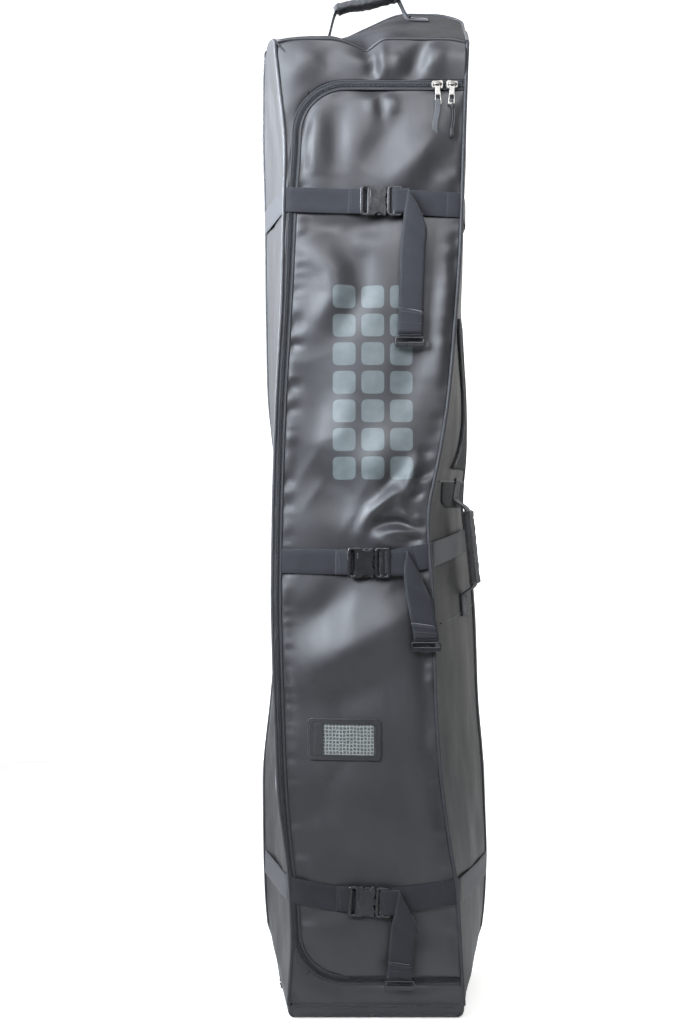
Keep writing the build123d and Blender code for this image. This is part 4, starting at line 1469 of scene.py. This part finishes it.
def build_buckle(name, place):
    # Female half: bar and slot, then two plates with a hollow between them for the prongs.
    half = [(-32, -19), (-30, -22.4), (-26, -23), (-15, -23), (-13, -20)]
    bar = cut_plate("bar", mm(mirrored(half)), [mm(rounded(5.6, 39, 2, 3, -23.8, 0))],
                    8.4 * MM, 1.3 * MM, place)
    half = [(-16, -22.6), (-12, -22.8), (-10.2, -22.2), (-8.8, -20.6), (-7.0, -19.2), (-4.6, -18.4),
            (-2, -18.4), (0.2, -19.2), (2, -20.8), (3.4, -22.2), (5, -22.8), (7.4, -22.4), (8, -21),
            (8, -8), (6.6, -6)]
    plates = [cut_plate("plate", mm(mirrored(half)), [], 2.2 * MM, 0.8 * MM,
                        shifted(place, w=w * MM)) for w in (3.0, -3.0)]
    ribs = [soft_box("rib", (-0.014, v - 0.0011, -0.0022), (0.006, v + 0.0011, 0.0022), 0.0004, place)
            for v in (-0.0085, 0.0085)]
    ridge = soft_box("ridge", (-0.0172, -0.015, 0.0036), (-0.0158, 0.015, 0.0046), 0.00035, place)
    female = join(f"buckle_body_female_{name}", [bar] + plates + ribs + [ridge])
    done(female, M["buckle"], f"strap_left_{name}", "buckle_plastic", f"buckle_female_{name}")

    # Male half: ladder of two slots, and the middle tongue.
    half = [(9.2, -17), (10.5, -20.5), (13, -23), (30, -23), (33, -20)]
    ladder = cut_plate("ladder", mm(mirrored(half)),
                       [mm(rounded(4.6, 39, 1.8, 3, u, 0)) for u in (16.4, 26.4)],
                       6.4 * MM, 1.3 * MM, place)
    bite = [soft_box("bite", (0.0206, v - 0.0009, 0.0024), (0.0222, v + 0.0009, 0.0040), 0.0003, place)
            for v in np.arange(-0.017, 0.018, 0.0034)]
    tongue = cut_plate("tongue", mm(mirrored([(10, -5), (-8, -4), (-11.6, -2.2)])), [],
                       2.8 * MM, 0.6 * MM, place)
    male = join(f"buckle_body_male_{name}", [ladder, tongue] + bite)
    done(male, M["buckle"], f"buckle_male_{name}", "buckle_plastic", f"buckle_male_{name}")

    # Prongs: a springy stem with a broad thumb pad that fills the scallop.
    stem = [(10, 10.6), (10, 15.6), (6, 17.0), (3.4, 19.6), (1.4, 21.4), (-1.6, 22.2), (-4.8, 22.0),
            (-7.4, 20.6), (-9.6, 17.6), (-11.4, 13.4), (-11.0, 11.4), (-8.4, 12.4), (-5, 14.2),
            (-1, 14.6), (4, 12.4)]
    for key, sign in (("a", 1), ("b", -1)):
        points = [(u, v * sign) for u, v in stem][::sign]
        prong = cut_plate(f"buckle_prong_piece_{key}_{name}", mm(points), [], 3.6 * MM, 0.8 * MM, place)
        done(prong, M["buckle"], f"buckle_prong_{key}_{name}", "buckle_plastic",
             f"buckle_prong_{key}_{name}")


# Left edge, length and slant of each loose end.
TAILS = {
    "upper": (0.040, 0.206, -0.006),
    "middle": (0.038, 0.118, 0.020),
    "lower": (0.026, 0.116, -0.008),
}


def build_tail(name, xb, z0, y0):
    """The loose end of a strap: out of the buckle, folded down over itself, with a hem and loop."""
    edge, length, slant = TAILS[name]
    loop_low, loop_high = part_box(f"tail_loop_{name}")
    middle, loop_y, loop_z = centre_of(f"tail_loop_{name}")
    end_z = z0 - length + 0.004
    y_end = loop_low.y + 0.0030
    threaded = ((0.0165, 0.001), (0.0185, -0.0036), (0.0215, -0.0046))
    top = [(xb + u, y0 + v, z0 + WEB / 2) for u, v in threaded + ((0.0255, -0.0046),)]
    top.append((edge + 0.010, y0 - 0.0042, z0 + 0.0180))
    low = [(xb + u, y0 + v, z0 - WEB / 2) for u, v in threaded + ((0.0265, -0.0046),)]
    low.append((edge + 0.031, y0 - 0.0042, z0 - 0.0210))
    drop_left = [(edge + 0.0102, y0 - 0.0064, z0 + 0.0176), (edge + 0.004, y0 - 0.0092, z0 - 0.012)]
    drop_right = [(edge + 0.0312, y0 - 0.0064, z0 - 0.0214), (edge + 0.040, y0 - 0.0084, z0 - 0.046)]
    for t in np.linspace(0.35, 1, 8):
        wave = 0.0015 * math.sin(t * 5 + length * 40)
        x = edge + slant * t + (middle - 0.019 - edge - slant) * t ** 3
        z = z0 - (length - 0.004) * t
        y = (1 - t) * (y0 - 0.0080) + t * y_end + wave * (1 - t)
        drop_left.append((x, y, z))
        drop_right.append((x + 0.038, y - 0.0008 * math.sin(t * 4), min(z, drop_right[1][2] - 0.004)))
    drop_left, drop_right = spline(drop_left, 40), spline(drop_right, 40)
    ahead = 0.0
    for edge_line in (drop_left, drop_right):
        for point in edge_line:
            ahead = max(ahead, point[1] - (on_front(point[0], point[2])[1] - 0.0045))
    for edge_line in (drop_left, drop_right):
        edge_line[:, 1] -= ahead * smooth(np.linspace(-0.05, 1, 40) / 0.45)
    y_end -= ahead
    flat_part = band_grid("flat_part", spline(top, 14), spline(low, 14))
    hanging = band_grid("hanging", drop_left, drop_right, bow=0.0012)
    hem_left = drop_left[-9:] + (0, -0.0019, 0)
    hem_right = drop_right[-9:] + (0, -0.0019, 0)
    hem_left[0] += (0.004, 0.0004, -0.006)
    hem_right[0] += (-0.004, 0.0004, -0.006)
    hem = band_grid("hem", hem_left, hem_right, bow=0.0012)
    hook = [(y_end - 0.0012, end_z), (y_end - 0.0016, end_z - 0.0026), (y_end + 0.0004, end_z - 0.0046),
            (y_end + 0.0022, end_z - 0.0026), (y_end + 0.0018, end_z + 0.003)]
    lip = spline([(middle - 0.019, y, z) for y, z in hook], 12)
    lip = band_grid("lip", lip, lip + (WEB, 0, 0), 1.3 * MM)
    tail = join(f"strap_tail_web_{name}", [flat_part, hanging, hem, lip])
    done(tail, M["webbing"], f"buckle_male_{name}", "webbing", f"strap_tail_{name}")
    rows = []
    for k in (2, 5):
        a, b = hem_left[k], hem_right[k]
        line = [a * 0.94 + b * 0.06 + (0, -0.0013, 0), 0.5 * (a + b) + (0, -0.0024, 0),
                b * 0.94 + a * 0.06 + (0, -0.0013, 0)]
        rows.append(stitches(f"hem_{k}", line, FORWARD, 0.0026, 0.0010))
    done(join(f"strap_tail_stitch_{name}", rows), M["thread"], f"buckle_male_{name}", "webbing")
    width = loop_high.x - loop_low.x
    height = loop_high.z - loop_low.z
    place = local_frame((middle, loop_y - ahead, loop_z), (1, 0, 0))
    loop = cut_plate(f"tail_loop_piece_{name}", rounded(width, height, 0.0035, 4),
                     [rounded(width - 0.0065, height * 0.36, 0.0018, 3, 0, height * 0.16)],
                     0.0040, 0.0011, place)
    done(loop, M["loop"], f"tail_loop_{name}", "buckle_plastic", f"tail_loop_{name}")


for strap in STRAPS:
    build_strap(strap)


# ======================================================================================
# Lid window with its card
# ======================================================================================
def window():
    """The window, laid on a smooth surface fitted to the lid under it."""
    low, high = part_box("id_window_frame")
    cx, _, cz = centre_of("id_window_frame")
    w, h = high.x - low.x, high.z - low.z
    spots = [(x, z) for x in np.linspace(low.x, high.x, 9) for z in np.linspace(low.z, high.z, 7)]
    hits = np.array([on_front(x, z) for x, z in spots])

    def powers(co):
        dx, dz = co[:, 0] - cx, co[:, 2] - cz
        return np.stack([np.ones_like(dx), dx, dz, dx * dx, dx * dz, dz * dz], 1)

    fit = np.linalg.lstsq(powers(hits), hits[:, 1], rcond=None)[0]
    spare = float((hits[:, 1] - powers(hits) @ fit).min())

    def lay(obj, lift):
        rework(obj.data, lambda bm: split_long(bm, 0.009, 6, 4, use_grid_fill=True))
        co = coords(obj.data)
        tag(obj.data, "flat", co)
        co[:, 1] += powers(co) @ fit + spare * 0.6 - lift
        set_coords(obj.data, co)
        return obj

    flat = local_frame((cx, 0, cz), (1, 0, 0))
    frame_piece = lay(cut_plate("window_frame", rounded(w, h, 0.007, 6),
                                [rounded(w - 0.022, h - 0.017, 0.004, 5, 0.002, 0)],
                                0.0026, 0.0009, flat), 0.0012)
    strip = lay(cut_plate("window_strip", rounded(0.013, h - 0.014, 0.003, 4), [], 0.0020, 0.0006,
                          shifted(flat, u=-w / 2 + 0.0175)), 0.0020)
    surround = join("id_window_surround", [frame_piece, strip])
    done(surround, M["frame"], "lid", "binding", "id_window_frame")
    card = lay(cut_plate("id_window_card", rounded(w - 0.030, h - 0.016, 0.003, 4), [], 0.0008, 0.0002,
                         shifted(flat, u=0.004)), 0.0006)
    done(card, M["card"], "lid", "card", "id_card")
    lens = lay(cut_plate("id_window_vinyl", rounded(w - 0.014, h - 0.010, 0.004, 5), [], 0.0005, 0.0001,
                         flat), 0.0016)
    done(lens, M["vinyl"], "lid", "clear_window", "id_window_lens")
    border = rounded(w - 0.006, h - 0.006, 0.005, 5)
    path = np.array([(cx + u, 0, cz + v) for u, v in border + border[:1]])
    path[:, 1] = powers(path) @ fit + spare * 0.6 - 0.0026
    done(stitches("id_window_stitch", path, FORWARD, 0.0032, 0.0012), M["thread"], "lid", "binding")


window()


# ======================================================================================
# Zip sliders and their pulls
# ======================================================================================
def build_slider(side):
    x, z = centre_of(f"zip_slider_{side}")[0], ZIP_TOP
    y = float(slouch(np.array([x, FRONT_Y, z]))[1])
    place = local_frame((x, y - 0.0034, z), (1, 0.02, 0))
    mirror = 1 if side == "left" else -1
    shape = mirrored([(-8.5, -3.8), (-6, -5.6), (0, -5.2), (6.5, -6.6), (8.8, -5.0)])
    shape = [(u * mirror, v) for u, v in shape][::mirror]
    plates = [cut_plate("plate", mm(shape), [], 1.7 * MM, 0.6 * MM, shifted(place, w=w * MM))
              for w in (2.6, -1.9)]
    wedge = soft_box("wedge", (0.0045 * mirror - 0.0035, -0.0016, -0.0015),
                     (0.0045 * mirror + 0.0035, 0.0016, 0.0022), 0.0005, place)
    arch = [(-0.0062, 0, 0.0030), (-0.0058, 0, 0.0052), (-0.0040, 0, 0.0066), (0.0, 0, 0.0070),
            (0.0040, 0, 0.0066), (0.0058, 0, 0.0052), (0.0062, 0, 0.0030)]
    arch = soften([tuple(place @ Vector(p)) for p in resample(arch, 0.0012)], 2)
    bridge = sweep("bridge", arch, (0, 0, 1), [(a * 1.5, b * 0.8) for a, b in ring(0.0013, 10)])
    slider = join(f"zip_slider_body_{side}", plates + [wedge, bridge])
    done(slider, M["nickel"], f"zip_slider_{side}", "nickel", f"zip_slider_{side}")

    low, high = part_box(f"pull_tab_{side}")
    pivot_y = low.y + (high.y - low.y) / 2
    place = local_frame((x, pivot_y, z), (1, 0, 0))
    tip = -(high.z - low.z) + 0.004
    outline = [(-4.6, 3.4), (-4.9, 0), (-3.9, -9), (-4.4, -14), (-5.6, tip / MM + 2.6), (-4.2, tip / MM)]
    outline += [(-u, v) for u, v in outline[::-1]]
    outline = resample(mm(outline + outline[:1]), 0.0016)[:-1]
    holes = [rounded(0.0058, 0.0052, 0.0018, 4, 0, -0.0005),
             rounded(0.0062, 0.0110, 0.0015, 4, 0, tip + 0.0095)]
    tab = cut_plate(f"pull_tab_piece_{side}", [tuple(p) for p in outline], holes, 2.2 * MM, 0.8 * MM,
                    shifted(place, turn=0.05 * mirror))
    done(tab, M["nickel"], f"pull_tab_{side}", "nickel", f"pull_tab_{side}")

    cord_low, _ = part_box(f"pull_cord_{side}")
    start, end = z + tip + 0.0065, cord_low.z
    drop = np.linspace(0, 1, 26)
    if side == "left":
        lean = -0.004 * drop + 0.0012 * np.sin(drop * 7)
        front = np.stack([x + lean, pivot_y - 0.0016 - 0.0020 * np.sin(drop * 3),
                          start + (end - start) * drop], 1)
        rear = front + (0, 0.0030, 0)
        loop = np.vstack([rear[::-1], [[x, pivot_y + 0.0001, start + 0.0022]], front])
        pull = sweep("pull_ribbon_left", soften(loop, 1), (1, 0, 0), band_section(0.0088, 0.0014))
        done(pull, M["ribbon"], "pull_tab_left", "webbing", "pull_cord_left")
        ends = [(-0.0034, -0.0009, 0), (0.0034, -0.0009, 0)]
        rows = [stitches("row", front[k] + ends, FORWARD, 0.0016, 0.0006) for k in (4, 22)]
        done(join("pull_ribbon_stitch", rows), M["thread"], "pull_tab_left", "webbing")
    else:
        sway = 0.0026 * np.sin(drop * 3.1)
        one = place_xz(x - 0.0016 + sway - 0.0008 * drop, start + (end + 0.012 - start) * drop, pivot_y)
        two = one + (0.0030, 0, 0)
        loop = np.vstack([one[::-1], [[x, pivot_y, start + 0.0026]], two])
        cord = tube("cord", soften(loop, 1), 0.0012)
        knot = beads("knot", [(x - 0.001, pivot_y, end + 0.0085)], [(0, 0, 1)], FORWARD,
                     (0.0085, 0.0032, 0.0030))
        cuff = beads("cuff", [(x, pivot_y, start - 0.008)], [(0, 0, 1)], FORWARD,
                     (0.0055, 0.0028, 0.0024))
        pull = join("pull_cord_piece_right", [cord, knot, cuff])
        done(pull, M["cord"], "pull_tab_right", "webbing", "pull_cord_right")


build_slider("left")
build_slider("right")


# ======================================================================================
# Grab handles
# ======================================================================================
def sleeve(name, path, side, width, thick, ridges, seed):
    """A padded sleeve round webbing: a flattened tube with ridges, puckers and rolled ends."""
    path = resample(path, 0.0028)
    side, out = path_axes(path, side)
    around = np.linspace(0, 2 * math.pi, 49)[:-1]
    rows, flats = [], []
    count = len(path)
    for i in range(count):
        t = i / (count - 1)
        end = min(t, 1 - t)
        close = min(1.0, math.sqrt(max(0.0, 1 - (1 - min(1.0, end / 0.035)) ** 2)) + 0.12)
        swell = close * (1 + 0.05 * math.sin(9 * t + seed) + 0.10 * float(hump(end - 0.03, 0.03)))
        c, s = np.cos(around), np.sin(around)
        a = np.sign(c) * np.abs(c) ** 0.75 * width / 2 * (0.92 + 0.08 * swell) * min(1, close + 0.05)
        b = np.sign(s) * np.abs(s) ** 0.8 * thick / 2 * swell
        b = b * (1 + 0.16 * np.cos(ridges * 2 * math.pi * a / width) * (np.abs(s) > 0.2))
        crease = 0.0009 * lattice_noise(np.full(48, t * 26.0 + seed), around * 1.6 + seed, seed)
        crease += 0.0005 * lattice_noise(np.full(48, t * 70.0), around * 3.0, seed + 1)
        rows.append(path[i] + side[i] * a[:, None] + out[i] * b[:, None]
                    + (side[i] * c[:, None] + out[i] * s[:, None]) * crease[:, None])
        flats.append(np.stack([a, b, np.full(48, i * 0.0028)], 1))
    obj = grid_object(name, np.array(rows), np.array(flats), loop=True)
    rework(obj.data, lambda bm: bmesh.ops.holes_fill(
        bm, edges=[e for e in bm.edges if e.is_boundary], sides=0))
    rework(obj.data, turn_out)
    return obj


def anchor(origin, direction, across, lift, thick):
    """A patch of webbing laid on the skin; origin gives the start of the ray for along and across."""
    grid = []
    for along in np.linspace(*across[0]):
        hits = [probe(origin(along, v), direction) for v in np.linspace(*across[1])]
        grid.append([hit + normal * lift for hit, normal in hits])
    grid = np.array(grid)
    patch = grid_object("anchor", grid, grid)
    outward(patch, -np.array(direction))
    return thicken(patch, thick), grid


def build_top_handle():
    low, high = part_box("top_handle")
    y = centre_of("top_handle")[1]
    half = (high.x - low.x) / 2
    shift = -0.009
    xs = np.linspace(-half, half, 60)
    ground = [probe((end + shift, y, 2.0), (0, 0, -1))[0][2] + 0.0015 for end in (-half, half)]
    t = (xs + half) / (2 * half)
    arch = smooth((t - 0.02) / 0.13) * smooth((0.985 - t) / 0.16)
    base = ground[0] + (ground[1] - ground[0]) * t
    crest = high.z - 0.008 - 0.020 * (1 - t) + 0.010 * t + 0.006 * np.sin(math.pi * t)
    z = base + (crest - base) * arch + 0.002 * np.sin(t * 9)
    path = soften(np.stack([xs + shift, y - 0.006 * arch, z], 1), 2)
    web = sweep("top_handle_web", path, (0, 1, 0), band_section(0.025, 0.0024))
    done(web, M["webbing"], None, "webbing", "top_handle")
    at = np.abs(coords(web.data)[:, 0] - shift) / half
    bend_by(web)
    inner = path[(np.abs(xs) < 0.052)]
    grip = sleeve("top_handle_sleeve", inner, (0, 1, 0), 0.033, 0.0150, 2, 3)
    done(grip, M["grip"], "top_handle", "grip", "top_grip")
    made = [anchor(lambda u, v: (shift + sign * (half + u), y + v, 2.0), (0, 0, -1),
                   ((-0.005, 0.030, 9), (-0.0135, 0.0135, 7)), 0.0022, 1.8 * MM)[0]
            for sign in (-1, 1)]
    done(join("top_handle_anchor", made), M["webbing"], "root", "webbing", "handle_anchors")


build_top_handle()


def build_side_handle():
    low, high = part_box("side_handle")
    grip_low, grip_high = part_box("side_grip")
    mid_z = centre_of("side_handle")[2] + 0.010
    half = (high.z - low.z) / 2 - 0.015
    y = centre_of("side_grip")[1] - 0.010
    zs = np.linspace(mid_z - half, mid_z + half, 70)
    ground, normals = zip(*[probe((0.5, y, z), (-1, 0, 0)) for z in zs])
    ground = soften(ground, 6)
    normal = unit(np.mean(normals, 0) * (1, 1, 0))
    across = np.cross((0, 0, 1), normal)
    t = np.linspace(0, 1, 70)
    lift = 0.0018 + 0.0190 * smooth(t / 0.12) * smooth((1 - t) / 0.12)
    chord = ground[0] + (ground[-1] - ground[0]) * t[:, None]
    bulge = ((ground - chord) * normal).sum(1)
    path = chord + normal * (lift + np.maximum(bulge, 0.6 * bulge))[:, None]
    web = sweep("side_handle_web", path, across, band_section(0.030, 0.0024))
    done(web, M["webbing"], None, "webbing", "side_handle")
    z = coords(web.data)[:, 2]
    bend_by(web)
    reach = (grip_high.z - grip_low.z) / 2
    inner = path[np.abs(zs - mid_z) < reach] + normal * 0.0015
    grip = sleeve("side_handle_sleeve", inner, across, 0.034, 0.0120, 3, 8)
    done(grip, M["grip"], "side_handle", "grip", "side_grip")
    made, rows = [], []
    for sign in (-1, 1):
        z0 = mid_z + sign * (half - 0.004)
        patch, grid = anchor(lambda u, v: (0.5, y + v * across[1], z0 + sign * u), (-1, 0, 0),
                             ((0, 0.036, 9), (-0.019, 0.019, 8)), 0.0026, 2.0 * MM)
        made.append(patch)
        for a, b in (((1, 1), (1, -2)), ((-2, 1), (-2, -2)), ((1, 1), (-2, 1)), ((1, -2), (-2, -2)),
                     ((1, 1), (-2, -2)), ((1, -2), (-2, 1))):
            rows.append(stitches("box", [grid[a] + normal * 0.0006, grid[b] + normal * 0.0006], normal,
                                 0.0030, 0.0011))
    done(join("side_handle_anchor", made), M["webbing"], "root", "webbing")
    done(join("side_handle_stitch", rows), M["thread"], "root", "webbing")


build_side_handle()


# ======================================================================================
# Inside of the bag, and the hardware at the back and foot
# ======================================================================================
warped_copy("foam_padding", "wall_padding", M["foam"], "foam")
warped_copy("back_stiffener", "back_sheet", M["sheet"], "sheet_plastic")
warped_copy("board_divider", "divider_panel", M["lining"], "lining")
warped_copy("tie_down_straps", "tie_down_web", M["webbing"], "webbing")
warped_copy("skid_rails", "skid_rail_pair", M["rail"], "sheet_plastic", 0.020)


def build_lid_lining():
    flat = lid_plan(90, 18, 0.012, HINGE_X - HINGE_REACH)
    grid = slouch(flat) - front_normal(flat[..., 2]) * LINING_DEPTH
    lining = grid_object("lid_lining", grid, flat)
    outward(lining, (0, -1, 0))
    thicken(lining, 3.0 * MM)
    done(lining, M["foam"], "lid", "lining")


build_lid_lining()

for node, key in (("wheel_housings", "housing"), ("wheel_axles", "steel"), ("housing_screws", "steel"),
                  ("wheel_left", "tyre"), ("wheel_right", "tyre")):
    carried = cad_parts[node]
    carried.data.materials.clear()
    carried.data.materials.append(M[key])


# ======================================================================================
# Floor, light and camera
# ======================================================================================
def build_stage():
    xs = np.linspace(-6, 6, 13)
    grid = np.array([[(x, y, -0.0006) for x in xs] for y in np.linspace(-6, 2.2, 9)])
    floor = grid_object("floor", grid, grid)
    outward(floor, (0, 0, 1))
    n = Nodes("paper_floor")
    color = n.mix(n.ramp(n.noise(1.2, 3), 0.3, 0.7), (0.84, 0.835, 0.82), (0.88, 0.875, 0.865))
    floor.data.materials.append(n.finish(color, 0.85, n.bump(n.noise(300, 3), 0.05, 0.0005)))
    n.link(color, n.bsdf.inputs["Emission Color"])
    seen = n.add("LightPath").outputs["Is Camera Ray"]
    n.link(n.math("MULTIPLY", seen, 0.62), n.bsdf.inputs["Emission Strength"])
    rise = [(2.2 + 1.2 * math.sin(a), 1.2 - 1.2 * math.cos(a)) for a in np.linspace(0, math.pi / 2, 16)]
    grid = np.array([[(x, y, z - 0.0006) for x in xs] for y, z in rise + [(3.4, 7.0)]])
    backdrop = grid_object("backdrop", grid, grid)
    outward(backdrop, (0, -1, 0))
    n = Nodes("paper_backdrop")
    color = n.mix(n.ramp(n.parts()[0], 0.1, 1.6), (1.0, 1.0, 1.0), (1.0, 0.985, 0.93))
    n.link(color, n.bsdf.inputs["Emission Color"])
    seen = n.add("LightPath").outputs["Is Camera Ray"]
    glow = n.math("ADD", n.math("MULTIPLY", seen, 0.7), 0.3)
    n.link(glow, n.bsdf.inputs["Emission Strength"])
    backdrop.data.materials.append(n.finish(color, 0.9))


def area_light(name, place, target, size, power, color=(1, 1, 1), spread=180):
    data = bpy.data.lights.new(name, "AREA")
    data.shape = "RECTANGLE"
    data.size, data.size_y = size
    data.energy = power
    data.color = color
    data.spread = math.radians(spread)
    obj = link(name, data)
    obj.location = place
    obj.rotation_euler = (Vector(target) - Vector(place)).to_track_quat("-Z", "Y").to_euler()


def build_world():
    """A dim sky that lights the bag, seen by the camera as plain white."""
    world = bpy.data.worlds.new("studio")
    scene.world = world
    world.use_nodes = True
    tree = world.node_tree
    sky = tree.nodes["Background"]
    sky.inputs["Color"].default_value = (0.97, 0.985, 1.0, 1)
    sky.inputs["Strength"].default_value = 0.118
    seen = tree.nodes.new("ShaderNodeBackground")
    seen.inputs["Color"].default_value = (1.0, 0.998, 0.99, 1)
    rays = tree.nodes.new("ShaderNodeLightPath")
    pick = tree.nodes.new("ShaderNodeMixShader")
    for k, source in enumerate((rays.outputs["Is Camera Ray"], sky.outputs[0], seen.outputs[0])):
        tree.links.new(source, pick.inputs[k])
    tree.links.new(pick.outputs[0], tree.nodes["World Output"].inputs["Surface"])


def build_camera():
    camera = link("camera", bpy.data.cameras.new("camera"))
    camera.location = (-0.052, -2.315, 0.777)
    camera.rotation_euler = (math.pi / 2, 0, 0)
    camera.data.lens = 50.55
    camera.data.sensor_width = camera.data.sensor_height = 36
    camera.data.sensor_fit = "VERTICAL"
    scene.camera = camera


build_stage()
area_light("key", (-1.45, -1.35, 2.05), (0, 0, 1.42), (1.3, 1.5), 27, (0.84, 0.91, 1.0), 75)
area_light("front", (0.1, -2.3, 2.6), (0, 0, 1.35), (1.8, 1.2), 15, (0.93, 0.95, 1.0), 80)
area_light("left", (-2.3, 0.35, 1.9), (-0.15, 0, 1.35), (0.9, 1.3), 37, (0.86, 0.92, 1.0), 60)
area_light("fill", (2.6, -1.6, 1.5), (0, 0, 0.9), (1.2, 2.2), 2.4, (1.0, 0.96, 0.90))
area_light("rim", (1.4, 1.3, 2.2), (0, 0, 1.1), (0.8, 1.6), 18)

build_world()
build_camera()
scene.view_settings.view_transform = "Standard"
